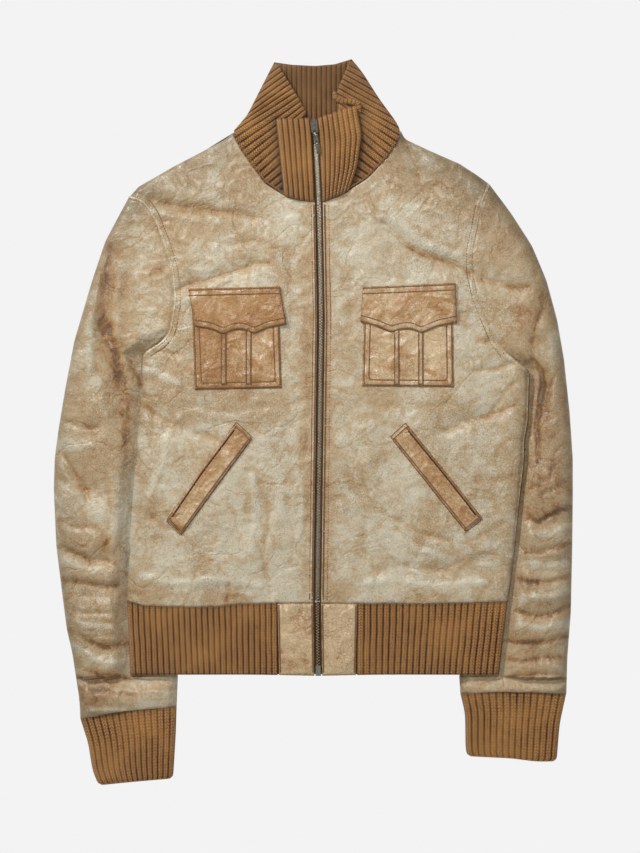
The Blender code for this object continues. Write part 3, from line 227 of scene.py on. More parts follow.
def zip_x(y):
    """Middle of the zip at a height on the page."""
    return at_height(ZIP_LINE, y)[..., 0]


def body_edge(side, y):
    """X of the body's side edge at a height on the page."""
    return at_height(SIDE_L if side < 0 else SIDE_R, y)[..., 0]


def sleeve_inner(side, y):
    """X of the sleeve's inner edge at a height on the page."""
    return at_height(INNER_L if side < 0 else INNER_R, y)[..., 0]


def back_under(where):
    """Height of the back's underside, which lies on the sleeves near its sides."""
    x, y = where[..., 0], where[..., 1]
    lift = np.zeros(x.shape)
    for side, top in ((-1, SIDE_L[-1][1]), (1, SIDE_R[-1][1])):
        over = (x - sleeve_inner(side, y)) * side
        ramp = np.clip((over + 22.0) / 19.0, 0, 1)
        reach = np.clip((top - y) / PIT_RISE, 0, 1)
        lift = np.maximum(lift, ramp * reach)
    return BACK_LIFT * lift


def fold_height(where):
    """Sum of the soft folds at plan points."""
    total = np.zeros(where.shape[:-1])
    for route, half_width, height in FOLDS:
        total = total + height * np.exp(-(distance(where, route) / half_width) ** 2)
    return total


def crown(where):
    """Height of the filled-out cloth before its edges turn down."""
    out = np.abs(where[..., 0] - 4.0)
    body = FRONT_MID + FRONT_RISE * smooth((out - 60) / 130)
    return body + SLEEVE_RISE * smooth((out - 205) / 45) + fold_height(where)


def front_top(where):
    """Outer height of the front, its hem and what continues them."""
    low = back_under(where) + BACK_WALL + SEAM + EDGE_STAND
    side = np.minimum(distance(where, SIDE_L), distance(where, SIDE_R))
    outer = np.minimum(distance(where, SHOULDER_L), distance(where, SHOULDER_R))
    hem = np.minimum(distance(where, HEM_SEAM_L), distance(where, HEM_SEAM_R))
    turn = np.minimum(round_off(side, SIDE_ROUND), round_off(outer, OUTER_ROUND))
    off_zip = smooth((np.abs(where[..., 0] - zip_x(where[..., 1])) - 15) / 30)
    top = crown(where) - HEM_DIP * off_zip * (1 - round_off(hem, SIDE_ROUND))
    return low + (top - low) * turn


def sleeve_top(where, side, to_flat, above_pit):
    """Outer height of a sleeve: round at its edges and flat from where it runs under the body."""
    outer = OUTER_L if side < 0 else OUTER_R
    hem_y = (HEM_SEAM_L if side < 0 else HEM_SEAM_R)[-1][1] - 88.0
    away = np.maximum(to_flat, 0)
    inner = distance(where, [p for p in (INNER_L if side < 0 else INNER_R) if p[1] < hem_y])
    below = where[..., 1] < HEM_CLEAR
    away = np.where(below, np.minimum(HEM_CLEAR + 2.4 - where[..., 1], inner), away)
    cuff = distance(where, CUFF_SEAM_L if side < 0 else CUFF_SEAM_R)
    level = smooth(above_pit / PIT_FADE)
    inner_turn = level + (1 - level) * smooth(away / INNER_ROUND)
    turn = np.minimum(round_off(distance(where, outer), OUTER_ROUND), inner_turn)
    top = CUFF_TOP + (crown(where) - CUFF_TOP) * round_off(cuff, 26.0)
    return SLEEVE_FLAT + (top - SLEEVE_FLAT) * turn


def collar_side_top(where, side):
    """Outer height of the collar's folded sides; they sink where the front stretches cover them."""
    edge = COLLAR_EDGE_L if side < 0 else COLLAR_EDGE_R
    zip_edge, fold = COLLAR_FRONT_L if side < 0 else COLLAR_FRONT_R
    fold_x = np.interp(where[..., 1], [p[1] for p in fold], [p[0] for p in fold])
    brim = sorted([fold[-1], zip_edge[-1]])
    brim_y = np.interp(where[..., 0], [p[0] for p in brim], [p[1] for p in brim])
    clear = ((where[..., 0] - fold_x) * side > 0) | (where[..., 1] > brim_y)
    beyond = np.where(clear, distance(where, fold + [zip_edge[-1]]), 0)
    body = COLLAR_LOW + (COLLAR_MID - COLLAR_LOW) * smooth((beyond - 14) / 16)
    return COLLAR_EDGE + (body - COLLAR_EDGE) * round_off(distance(where, edge), COLLAR_ROUND)


def blended(inner, outer, bottom, top, shares, reach=0.3):
    """A plan grid between two side lines, bent near its bottom and top rows to meet those lines."""
    rows = len(inner)
    plan = inner[:, None] * (1 - shares[..., None]) + outer[:, None] * shares[..., None]
    for row, path in ((0, bottom), (rows - 1, top)):
        wanted = np.array(path) if len(path) == shares.shape[1] else along(path, shares[row])
        change = wanted - plan[row]
        for r in range(rows):
            share = smooth(1 - abs(r - row) / (reach * rows))
            plan[r] = plan[r] + change * share
    return plan


JACKET = "jacket"
KNIT_ROW = 3.3
FLOOR_TONE = 0.895
FLOOR_DROP = -0.0004
FOLD_FULL = 1.7
RIDGE_FULL = 0.9
CREASE_GAIN = 1.6
CREASE_WANDER = 2.4
FRONT_ROWS = 120
BACK_ROWS = 90
OPEN_ROWS = 84
EDGE_STEPS = np.array([0.0, 0.3, 0.8, 1.5, 2.5, 3.8, 5.4, 7.4, 10.0, 13.0])
HIDE_RIM = 1.6
HIDE_RIM_TOP = 1.5
HEM_FOOT = -294.6
HEM_DEEP = 83.0
HEM_BACK_TOP = -209.6
CUFF_DEEP = 78.0
CUFF_INSET = 2.4
COLLAR_SIDE_RIBS = 19
COLLAR_RIB = 1.4
DENTS = 0.35
SEAM_GAPS = (1.6, 7.6)
POCKET_LIFT = 0.4
FLAP_LIFT = 2.1
WELT_LIFT = 0.9
WELT_WALL = TRIM_WALL + 0.3
BAND_WALL = 0.8
BAND_HIDDEN = 12.0
STITCH_HALF = 1.1
THREAD_HALF = 0.42
TOOTH_PITCH = 3.3

# Main creases: route, half width, height (a trough is negative)
CREASES = [
    ([(-190, 262), (-177, 256), (-117, 247), (-69, 241)], 4.5, -1.0),
    ([(-185, 245), (-150, 238), (-110, 236)], 5.0, 0.8),
    ([(-158, 153), (-138, 163), (-104, 172), (-72, 183), (-50, 186)], 3.6, -0.9),
    ([(-150, 143), (-125, 150)], 5.0, 0.6),
    ([(80, 233), (87, 227), (127, 196), (159, 184), (186, 175)], 4.2, -1.2),
    ([(92, 236), (132, 206), (165, 194)], 6.0, 0.9),
    ([(198, 168), (234, 157), (250, 158)], 5.0, -1.2),
    ([(106, 331), (119, 306), (124, 288)], 4.5, -1.0),
    ([(120, 332), (134, 308), (150, 296)], 6.0, 0.7),
    ([(-238, 206), (-243, 141), (-242, 100)], 7.5, -0.8),
    ([(-240, 112), (-232, 76), (-222, 40), (-219, -2), (-215, -48)], 10.0, -1.15),
    ([(-224, 180), (-231, 140), (-230, 104)], 5.5, 0.9),
    ([(-256, 150), (-262, 100), (-256, 60), (-244, 20)], 6.0, 0.9),
    ([(-213, 74), (-202, 43)], 3.5, -1.2),
    ([(-298, -146), (-280, -151), (-257, -162), (-240, -163)], 4.0, -1.5),
    ([(-298, -160), (-272, -169), (-250, -172)], 4.6, 1.0),
    ([(-296, -184), (-270, -187), (-249, -193), (-228, -190)], 4.0, -1.4),
    ([(-300, -112), (-276, -122), (-256, -124)], 5.0, -0.9),
    ([(-296, -36), (-286, -52), (-273, -67), (-262, -92)], 4.4, -1.5),
    ([(-300, -20), (-280, -30), (-262, -28)], 6.0, 0.8),
    ([(-286, -243), (-262, -256), (-236, -262), (-206, -256)], 4.4, -1.2),
    ([(-282, -262), (-254, -276), (-224, -282), (-196, -276)], 4.6, 1.0),
    ([(-278, -284), (-250, -294), (-214, -298), (-180, -290)], 4.0, -1.2),
    ([(-274, -310), (-244, -312), (-214, -318), (-176, -308)], 4.0, -0.9),
    ([(-210, -40), (-214, -120), (-222, -190)], 6.0, 0.7),
    ([(-240, -60), (-236, -110), (-244, -150)], 6.0, -0.8),
    ([(256, 73), (266, 60), (268, 43), (264, 10), (260, -9), (262, -44)], 4.0, -1.8),
    ([(280, 96), (284, 60), (282, 20)], 6.5, 0.9),
    ([(270, 150), (262, 120), (256, 96)], 5.0, -0.9),
    ([(300, -100), (282, -106), (262, -116), (250, -113)], 3.6, -1.3),
    ([(300, -120), (276, -130), (256, -131)], 4.6, 1.0),
    ([(302, -140), (280, -147), (258, -152), (246, -149)], 3.6, -1.4),
    ([(302, -160), (274, -168), (250, -166)], 4.4, 1.0),
    ([(302, -178), (276, -186), (252, -187), (240, -182)], 3.6, -1.4),
    ([(300, -196), (276, -205), (248, -204)], 4.4, 1.0),
    ([(300, -214), (278, -224), (250, -226), (236, -220)], 3.6, -1.4),
    ([(299, -232), (272, -240), (240, -238)], 4.4, 0.9),
    ([(298, -250), (272, -257), (244, -258), (222, -252)], 3.6, -1.3),
    ([(297, -272), (266, -276), (232, -278), (200, -270)], 4.2, -1.0),
    ([(296, -296), (262, -292), (226, -298), (190, -288)], 4.0, -0.9),
    ([(192, -296), (192, -316)], 2.2, -1.2),
    ([(-100, -190), (-101, -211)], 2.6, -1.0),
    ([(-205, 20), (-170, 2), (-140, -12), (-112, -20)], 4.5, -0.8),
    ([(-212, -100), (-180, -120), (-150, -126)], 4.5, -0.7),
    ([(-60, -20), (-40, -60), (-36, -110)], 5.5, 0.5),
    ([(40, -60), (62, -100), (58, -150)], 5.0, -0.6),
    ([(236, 20), (206, 8), (180, 2), (150, -10)], 4.5, -0.9),
    ([(240, -60), (214, -70), (190, -66)], 4.5, -0.7),
    ([(228, -150), (190, -160), (150, -172), (110, -168)], 5.0, -0.7),
    ([(60, -190), (100, -184), (140, -192), (200, -186)], 4.0, 0.6),
    ([(-200, -180), (-150, -190), (-120, -184), (-60, -192)], 4.0, 0.6),
    ([(170, 120), (196, 96), (222, 92)], 4.5, -0.8),
    ([(30, 190), (44, 150), (42, 100)], 5.0, -0.5),
    ([(-30, 200), (-24, 150), (-28, 90)], 5.0, -0.5),
    ([(-150, 20), (-90, 12), (-50, 20)], 4.5, -0.5),
    ([(70, 24), (110, 14), (160, 22)], 4.5, -0.5),
    ([(-196, 30), (-186, 4), (-190, -30)], 3.0, -0.7),
    ([(-170, -20), (-176, -52), (-192, -84)], 3.2, 0.6),
    ([(-60, -70), (-52, -110), (-58, -160), (-50, -200)], 4.0, -0.9),
    ([(-72, -64), (-66, -104), (-72, -150)], 3.6, 0.7),
    ([(-30, -90), (-22, -130), (-30, -170)], 3.2, -0.6),
    ([(-18, -60), (-12, -96), (-18, -140)], 2.8, 0.5),
    ([(92, -112), (128, -130), (160, -140)], 3.0, -0.8),
    ([(84, -126), (118, -146), (150, -158)], 3.0, 0.6),
    ([(176, -140), (196, -132), (222, -118)], 3.0, -0.6),
    ([(60, -150), (76, -176), (70, -200)], 3.0, -0.6),
    ([(52, 180), (76, 172), (110, 168)], 2.8, -0.5),
    ([(-120, 212), (-96, 206), (-70, 212)], 3.0, -0.5),
    ([(-200, 96), (-184, 84), (-160, 80)], 3.2, -0.8),
    ([(-206, 62), (-184, 58), (-160, 46)], 3.0, 0.6),
    ([(236, 70), (214, 62), (190, 60)], 3.2, -0.8),
    ([(240, 48), (222, 34), (206, 10)], 3.2, -0.7),
    ([(-292, 4), (-270, -6), (-252, -4)], 3.0, -0.8),
    ([(-296, -64), (-280, -76), (-262, -80)], 3.0, -0.7),
    ([(-270, 110), (-256, 84), (-250, 60)], 3.0, -0.7),
    ([(-262, 196), (-250, 176), (-246, 150)], 3.0, -0.6),
    ([(-290, -214), (-266, -222), (-240, -222)], 3.0, -0.9),
    ([(-284, -228), (-262, -238), (-236, -240)], 3.0, 0.7),
    ([(-262, -336), (-236, -338), (-206, -336), (-176, -326)], 2.6, 0.7),
    ([(286, 60), (276, 40), (274, 12)], 3.0, -0.8),
    ([(296, -20), (282, -36), (276, -64)], 3.0, -0.8),
    ([(300, -66), (284, -76), (268, -84)], 3.0, -0.8),
    ([(270, 206), (262, 190), (260, 170)], 3.0, -0.6),
]

# Brown rubbed areas: centre, radii, strength
STAINS = [
    (-160, 232, 52, 24, 0.75), (-175, 160, 26, 60, 0.35), (-150, 60, 26, 60, 0.35), (-235, 110, 26, 90, 0.75),
    (-262, -30, 30, 70, 0.3), (-250, -160, 40, 40, 0.25), (-255, -310, 40, 26, 0.8),
    (-205, -250, 26, 70, 0.4),
    (-72, 200, 40, 26, 0.3), (-7, 60, 8, 260, 0.7), (15, 30, 8, 260, 0.65), (-75, 34, 46, 20, 0.4),
    (80, 30, 50, 22, 0.45), (218, 226, 30, 46, 0.55), (150, 270, 46, 26, 0.3), (264, 130, 30, 70, 0.75),
    (270, 30, 34, 60, 0.7), (275, -80, 32, 60, 0.6), (270, -180, 40, 60, 0.35), (250, -270, 46, 40, 0.5),
    (-202, -196, 26, 22, 0.5), (-130, -204, 46, 10, 0.35), (30, -196, 24, 18, 0.4), (184, -196, 40, 14, 0.25),
    (-84, 296, 16, 34, 0.5), (92, 300, 16, 36, 0.6), (66, 270, 24, 20, 0.35), (-190, -110, 24, 50, 0.35),
    (136, 26, 36, 20, 0.3), (-140, -60, 44, 40, 0.25), (150, -60, 44, 44, 0.08), (40, 110, 16, 60, 0.3),
]

# Extra brown of whole pieces
BASE_BROWN = {"sleeve_left_hide": 0.1, "sleeve_right_hide": 0.14, "pocket_left_flap": 0.75,
              "pocket_left_patch": 0.3, "pocket_right_flap": 0.25, "welt_left_patch": 0.3,
              "welt_right_patch": 0.1, "hem_panel_left": -0.6, "hem_panel_right": -0.95}

# Painted shadow between the layers of the collar and along the knit's seams: path, reach, strength
NECK_SHADE = {
    "collar_back_knit": [([(-60, 400), (60, 400)], 120.0, 0.72),
                         ([(-44, 372), (-14, 345), (4, 341), (30, 352), (36, 372)], 15.0, 0.95),
                         ([(-50, 396), (-20, 350)], 9.0, 0.6), ([(46, 398), (34, 350)], 9.0, 0.6)],
    "collar_side_left_knit": [(COLLAR_FRONT_L[1], 7.0, 0.85), (NECK_L, 4.0, 0.55)],
    "collar_side_right_knit": [(COLLAR_FRONT_R[1], 7.0, 0.85), (NECK_R, 4.0, 0.55)],
    "collar_front_left_knit": [(NECK_L, 3.5, 0.5)],
    "collar_front_right_knit": [(NECK_R, 3.5, 0.5)],
    "hem_left_knit": [(HEM_SEAM_L, 3.0, 0.6)],
    "hem_right_knit": [(HEM_SEAM_R, 3.0, 0.6)],
    "cuff_left_knit": [(CUFF_SEAM_L, 3.5, 0.5)],
    "cuff_right_knit": [(CUFF_SEAM_R, 3.5, 0.5)],
}


def noise(x, y, scale, seed):
    """Smooth value noise from -1 to 1 at plan points, made from a few fixed waves."""
    total = np.zeros(np.shape(x))
    for k in range(5):
        angle = 1.7 * k + 0.9 * seed
        turn = 0.8 + 0.37 * k
        a = (x * math.cos(angle) + y * math.sin(angle)) / scale * turn
        b = (-x * math.sin(angle) + y * math.cos(angle)) / scale * turn
        total = total + np.sin(a * 2.1 + 1.3 * np.sin(b * 1.7 + seed) + seed * 3.1 + k)
    return total / 5


def crease_height(where):
    """The listed creases, each wandering a little and fading at its ends."""
    x, y = where[..., 0], where[..., 1]
    moved = where + np.stack([noise(x, y, 26.0, 3), noise(x, y, 26.0, 8)], axis=-1) * CREASE_WANDER
    total = np.zeros(x.shape)
    for route, half_width, height in CREASES:
        total = total + CREASE_GAIN * height * np.exp(-(distance(moved, route) / half_width) ** 2)
    return total


def ripple(where):
    """Small lasting wrinkles all over the hide, in millimetres."""
    x, y = where[..., 0], where[..., 1]
    soft = noise(x, y, 34.0, 1) * 0.5 + noise(x, y, 15.0, 5) * 0.3
    ridged = (1 - np.abs(noise(x + 9 * noise(x, y, 40.0, 2), y, 22.0, 4)) * 2.2)
    return soft + np.clip(ridged, 0, 1) ** 3 * 0.6


def under_creases(where):
    """Creases pressed into a side that lies on the ground, as heights above it."""
    mirrored = where * np.array([-1.0, 1.0]) + np.array([0.0, 24.0])
    folds = 0.05 + np.clip(-crease_height(mirrored), 0, 1.6) * 0.5
    return folds + np.clip(ripple(mirrored) - 0.3, 0, 1) * 0.5


def pucker(where, path, seed):
    """Short gathers beside a seam."""
    gap = distance(where, path)
    run = where[..., 0] + 0.3 * where[..., 1]
    wave = np.sin(run / 1.25 + 2.2 * np.sin(run / 9.0 + seed)) * np.sin(run / 4.1 + seed)
    return 0.85 * wave * np.exp(-((gap - 4.5) / 5.0) ** 2)


def hide_front(where):
    """Height of a leather front with all its small forms."""
    top = front_top(where) + crease_height(where) + ripple(where)
    top = top + pucker(where, HEM_SEAM_L, 1.0) + pucker(where, HEM_SEAM_R, 2.0)
    for x0 in (-9.0, 11.5):
        off = where[..., 0] - zip_x(where[..., 1]) - x0
        top = top - 0.45 * np.exp(-(off / 1.3) ** 2)
    for path in (ARMHOLE_L, ARMHOLE_R):
        gap = distance(where, path)
        top = top - 0.5 * np.exp(-((gap - 7.0) / 1.4) ** 2) - 0.9 * np.exp(-(gap / 1.6) ** 2)
    return top


def dense(path, step):
    """A path cut into short even steps, its corners eased."""
    path = line(path)
    run = lengths(path)
    count = max(int(run[-1] / step), 8)
    fine = along(path, np.linspace(0, 1, count))
    for _ in range(6):
        fine[1:-1] = fine[1:-1] * 0.5 + (fine[:-2] + fine[2:]) * 0.25
    return fine


def set_value(mesh, name, values):
    """A float on each point, for the finish to read."""
    layer = mesh.attributes.new(name, "FLOAT", "POINT")
    layer.data.foreach_set("value", np.asarray(values, dtype=np.float32).ravel())


def shading(points, base):
    """Painted shade near the silhouette, where the cloth turns away from the light, and how brown it is; base
    is the whole piece's brown.
    """
    x, y = points[:, 0], points[:, 1]
    where = points[:, :2]
    outer = np.minimum(distance(where, OUTER_L), distance(where, OUTER_R))
    shoulder = np.minimum(distance(where, SHOULDER_L), distance(where, SHOULDER_R))
    edge = np.minimum(distance(where, SIDE_L), distance(where, SIDE_R))
    # Painted shade: darker towards the outer silhouettes, the shoulders and the body's side edges over the
    # sleeves
    dark = 0.75 * np.exp(-outer / 17.0) + 0.75 * np.exp(-shoulder / 26.0) + 0.35 * np.exp(-edge / 9.0)
    stain = np.zeros(len(points))
    for cx, cy, rx, ry, amount in STAINS:
        far = ((x - cx) / rx) ** 2 + ((y - cy) / ry) ** 2
        stain = np.maximum(stain, amount * np.exp(-far))
    return np.clip(dark, 0, 1), np.clip(stain + base, -1, 1)


def pick(side, left, right):
    """The left or the right one of two things; side is -1 on the left."""
    return left if side < 0 else right


def raised(plan, z):
    """A plan grid with its heights."""
    return np.concatenate([plan, z[..., None]], axis=-1)


def lowered(edge, drop):
    """A copy of an edge row or column that lies lower."""
    copy = edge.copy()
    copy[..., 2] -= drop
    return copy


def between(first, last, shares):
    """Rows of points from one path to another with as many points."""
    return first[None] * (1 - shares[:, None, None]) + last[None] * shares[:, None, None]


def sideways(path):
    """Unit steps to the left of a path at each of its points."""
    ahead = np.gradient(path, axis=0)
    ahead = ahead / np.maximum(np.linalg.norm(ahead, axis=1, keepdims=True), 1e-6)
    return np.stack([-ahead[:, 1], ahead[:, 0]], axis=-1)


def add_piece(name, points, faces, finish, nodes=(), soft=True):
    """A piece of the jacket from points in millimetres, with the solids it stands for."""
    mesh = bpy.data.meshes.new(name)
    mesh.from_pydata((np.asarray(points) * MM).tolist(), [], faces)
    mesh.materials.append(finish)
    if soft:
        mesh.shade_smooth()
    made = bpy.data.objects.new(name, mesh)
    bpy.context.scene.collection.objects.link(made)
    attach(made, JACKET)
    if nodes:
        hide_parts(*nodes)
    return made


def shell(name, grid, finish, nodes=(), closed=False, values=None, uv=None, skip=None):
    """One piece of cloth as a smooth grid of quads."""
    rows, cols = grid.shape[:2]
    points = grid.reshape(-1, 3)
    faces = []
    for r in range(rows - 1):
        for c in range(cols if closed else cols - 1):
            if skip and skip(r, c):
                continue
            d = (c + 1) % cols
            faces.append((r * cols + c, r * cols + d, (r + 1) * cols + d, (r + 1) * cols + c))
    made = add_piece(name, points, faces, finish, nodes)
    mesh = made.data
    # Painted shade near the silhouettes goes into dark, real brown stains into stain
    dark, stain = shading(points, BASE_BROWN.get(name, 0.0))
    set_value(mesh, "dark", dark)
    set_value(mesh, "stain", stain)
    # Painted shadow where the knit lies under other layers (deep)
    if name in NECK_SHADE:
        deep = np.zeros(len(points))
        for path, reach, amount in NECK_SHADE[name]:
            deep = np.maximum(deep, amount * np.exp(-distance(points[:, :2], path) / reach))
        set_value(mesh, "deep", deep)
    # Painted shade in the crease troughs (fold) and painted highlight on the crease ridges (ridge)
    fold = crease_height(points[:, :2])
    set_value(mesh, "fold", np.clip(-fold / FOLD_FULL, 0, 1) ** 2.2)
    set_value(mesh, "ridge", np.clip(fold / RIDGE_FULL, 0, 1))
    for key, value in (values or {}).items():
        set_value(mesh, key, value)
    if uv is not None:
        layer = mesh.uv_layers.new(name="UVMap")
        corners = np.empty(len(mesh.loops), dtype=np.int64)
        mesh.loops.foreach_get("vertex_index", corners)
        layer.data.foreach_set("uv", uv.reshape(-1, 2)[corners].astype(np.float32).ravel())
    return made


def with_rims(grid, drop, foot=None, head=None):
    """Adds a lowered copy of each side, so that its edge shows; foot and head change the rows' drops."""
    grid = np.concatenate([lowered(grid[:, :1], drop), grid, lowered(grid[:, -1:], drop)], axis=1)
    low = lowered(grid[:1], drop if foot is None else foot)
    return np.concatenate([low, grid, lowered(grid[-1:], drop if head is None else head)], axis=0)


def facing_up(grid):
    """Whether the grid's faces look up."""
    across = grid[0, -1] - grid[0, 0]
    up = grid[-1, 0] - grid[0, 0]
    return across[0] * up[1] - across[1] * up[0] > 0


def make_front(side, word, finish):
    """A leather front."""
    seam, neck = pick(side, HEM_SEAM_L, HEM_SEAM_R), pick(side, NECK_L, NECK_R)
    edge, armhole = pick(side, SIDE_L, SIDE_R), pick(side, ARMHOLE_L, ARMHOLE_R)
    shoulder = pick(side, SHOULDER_L, SHOULDER_R)
    pit = armhole[0][1]
    y = np.concatenate([np.linspace(seam[0][1], pit, FRONT_ROWS), np.linspace(pit, neck[0][1], 70)[1:]])
    zip_edge = np.stack([zip_x(y) + side * ZIP_HALF, y], axis=-1)
    inner = np.concatenate([zip_edge, dense(neck, 1.9)[1:]])
    side_low = at_height(edge, np.linspace(seam[-1][1], pit, FRONT_ROWS))
    arm = along(dense(armhole, 1.5), np.linspace(0, 1, len(inner) - FRONT_ROWS + 1))
    outer = np.concatenate([side_low, arm[1:]])
    outer[:, 0] += side * SLIT_COVER
    shares = []
    for width in np.linalg.norm(outer - inner, axis=1):
        middle = np.linspace(0, width - EDGE_STEPS[-1], 84)[:-1]
        shares.append(np.concatenate([middle, (width - EDGE_STEPS)[::-1]]) / width)
    plan = blended(inner, outer, dense(seam, 2.0), dense(shoulder, 1.5), np.array(shares))
    grid = with_rims(raised(plan, hide_front(plan)), HIDE_RIM, head=HIDE_RIM_TOP)
    if not facing_up(grid):
        grid = grid[:, ::-1]
    return shell(f"front_{word}_hide", grid, finish, [f"front_{word}"])


def sleeve_stations(side, armhole, outer_path, inner_path):
    """Rows of a sleeve: its fold, where it goes under, its inner end and its height over the pit."""
    pit = armhole[0][1]
    stations = []
    for y in np.linspace(armhole[-1][1] - 0.3, pit + 0.4, OPEN_ROWS):
        seam = at_height(armhole, y) + np.array([side * 0.4, 0.0])
        fold = at_height(outer_path, y)
        stations.append((fold, seam + (fold - seam) * 0.1, seam, y - pit))
    keys = np.array(pick(side, RINGS_L, RINGS_R), dtype=float)
    spots = [np.linspace(k, k + 1, count)[:-1] for k, count in enumerate((112, 40, 12, 12))]
    spots = np.concatenate(spots + [[4.0]])
    heights = np.stack([np.interp(spots, range(len(keys)), keys[:, j]) for j in range(3)], axis=-1)
    for y_out, y_edge, y_in in heights:
        fold, end = at_height(outer_path, y_out), at_height(inner_path, y_in)
        reach = max(side * float(body_edge(side, y_edge)) + 1.0, side * float(end[0]) + HIDDEN_EDGE)
        under = np.array([side * reach, y_edge])
        if y_edge < HEM_CLEAR:
            under[0] = end[0] + (fold[0] - end[0]) * 0.42
        stations.append((fold, under, end, 0.0))
    return stations


def make_sleeve(side, word, finish):
    """A sleeve's outer skin: over the top, round its folds and along the ground."""
    outer_path = dense(pick(side, OUTER_L, OUTER_R), 3.0)
    armhole = dense(pick(side, ARMHOLE_L, ARMHOLE_R), 2.0)
    cuff_seam = pick(side, CUFF_SEAM_L, CUFF_SEAM_R)
    stations = sleeve_stations(side, armhole, outer_path, pick(side, INNER_L, INNER_R))
    near_fold = np.array([0, 0.1, 0.5, 1.2, 2.2, 3.6, 5.4, 7.6]) / 100
    from_fold = np.concatenate([near_fold, np.linspace(0.1, 1, 44)])[:, None]
    hidden = np.array([0.25, 0.5, 0.75, 1.0])[:, None]
    low_share = np.concatenate([[0.99, 0.96], np.linspace(0.92, 0.1, 26), [0.05, 0.02]])
    rows = []
    for n, (fold, under, end, above) in enumerate(stations):
        plan = np.concatenate([fold + (under - fold) * from_fold, under + (end - under) * hidden])
        if n == len(stations) - 1:
            plan = along(dense(cuff_seam, 2.0), lengths(plan) / lengths(plan)[-1])
        run = lengths(plan)
        shown = np.linalg.norm(under - fold)
        z = sleeve_top(plan, side, shown - run, above)
        full = smooth(np.minimum(run, np.maximum(shown - run, 0) + 30 * min(above / 40, 1)) / 14)
        z = z + (crease_height(plan) + ripple(plan)) * full + pucker(plan, cuff_seam, 4.0) * full
        if above > 0:
            z = z - 0.9 * np.exp(-(distance(plan, armhole) / 1.6) ** 2)
        z = np.maximum(z, SLEEVE_FLAT * 0.9)
        z[0] = SLEEVE_FLAT
        if n >= OPEN_ROWS:
            z[-1] = SLEEVE_FLAT / 2
        low = np.stack([np.interp(low_share * run[-1], run, plan[:, k]) for k in range(2)], axis=-1)
        low_z = under_creases(low) * smooth(np.minimum(low_share, 1 - low_share) * 7)
        low_z[[0, -2, -1]] = (0.3, 0.5, 1.6)
        rows.append(np.concatenate([raised(plan, z), raised(low, low_z)]))
    grid = np.array(rows)
    slit = len(grid[0]) - len(low_share) - 1
    if side > 0:
        grid = grid[:, ::-1]
        slit = grid.shape[1] - 2 - slit
    last = len(grid) - 2
    return shell(f"sleeve_{word}_hide", grid[::-1], finish, [f"sleeve_{word}"], closed=True,
                 skip=lambda r, c: c == slit and last - r < OPEN_ROWS)


def rib_shape(phase):
    """A rounded rib with a narrow groove; phase counts ribs."""
    t = np.abs((phase % 1.0) - 0.5) * 2
    return 1 - t ** 2.8


def ribbed(across, levels, stitches):
    """Height of the ribs and place in the stitches, where across counts ribs along each row."""
    phase = np.repeat(across[None], len(levels), axis=0)
    return rib_shape(phase), np.stack([phase, levels[:, None] * stitches + 0 * phase], axis=-1)


def knit(name, grid, rib, uv, finish, nodes, turned=False, closed=False):
    """A knit shell; turned reverses its columns so that it faces out."""
    if turned:
        grid, rib, uv = grid[:, ::-1], rib[:, ::-1], uv[:, ::-1]
    return shell(name, grid, finish, nodes, closed, {"rib": rib.ravel()}, uv)


def edge_row(grid, rib, uv, last, drop=0.0, level=None, share=0.4):
    """Adds an edge row below a knit piece's last or first row, by a drop or at a level."""
    at = slice(-1, None) if last else slice(0, 1)
    row = lowered(grid[at], drop)
    if level is not None:
        row[..., 2] = level
    added = []
    for values, extra in ((grid, row), (rib, rib[at] * share), (uv, uv[at])):
        added.append(np.concatenate([values, extra] if last else [extra, values], axis=0))
    return added


def pad_row(grid, rib, uv, drop):
    """Turns a knit piece's first row and both end columns down."""
    grid, rib, uv = edge_row(grid, rib, uv, False, drop, share=0.3)
    grid = np.concatenate([lowered(grid[:, :1], drop), grid, lowered(grid[:, -1:], drop)], axis=1)
    uv = np.concatenate([uv[:, :1], uv, uv[:, -1:]], axis=1)
    rib = np.concatenate([rib[:, :1], rib, rib[:, -1:]], axis=1)
    return grid, rib, uv


def round_corners(plan, levels, size):
    """Draws the last rows of a knit piece in at both ends, so that its corners are soft."""
    for n, level in enumerate(levels):
        row = plan[n]
        late = max(level - 0.93, 0.0) / 0.07
        pull = size * (1 - math.sqrt(max(1 - late ** 2, 0.0))) / lengths(row)[-1]
        plan[n] = along(row, np.linspace(pull, 1 - pull, len(row)))
    return plan


def hem_bottom(x):
    """The hem's lower edge, a little lower at the zip."""
    return HEM_FOOT - 1.4 * np.exp(-((np.asarray(x) - 5) / 50.0) ** 2)


def make_hem(side, word, finish):
    """The ribbed hem of one front."""
    seam = pick(side, HEM_SEAM_L, HEM_SEAM_R)
    ribs = pick(side, HEM_RIBS_LEFT, HEM_RIBS_RIGHT)
    shares = np.linspace(0, 1, 9 * ribs + 1)
    top = along(dense(seam[1:], 2.0), shares) + np.array([side * SEAM, -SEAM / 2])
    foot_x = np.linspace(seam[1][0] + side * (SEAM - 0.6), float(body_edge(side, HEM_FOOT)), len(shares))
    levels = np.linspace(0, 1, 34)
    plan = between(top, np.stack([foot_x, hem_bottom(foot_x)], axis=-1), levels)
    plan[:, -1, 0] = body_edge(side, plan[:, -1, 1])
    sway = noise(plan[..., 0], plan[..., 1], 30.0, 6) * 0.5
    plan[..., 0] += sway * smooth(np.minimum(shares, 1 - shares) * 20)[None]
    bulge = 1 - (2 * levels - 1) ** 8
    rib, uv = ribbed(shares * ribs, levels, HEM_DEEP / KNIT_ROW)
    z = front_top(plan) - 0.9 + 1.5 * rib * (0.55 + 0.45 * bulge[:, None]) + ripple(plan) * 0.5
    z = z - 1.2 * (1 - smooth((1 - levels) * 14))[:, None]
    grid, rib, uv = pad_row(raised(plan, z)[::-1], rib[::-1], uv[::-1], 2.2)
    return knit(f"hem_{word}_knit", grid, rib, uv, finish, [f"hem_rib_front_{word}"], side < 0)


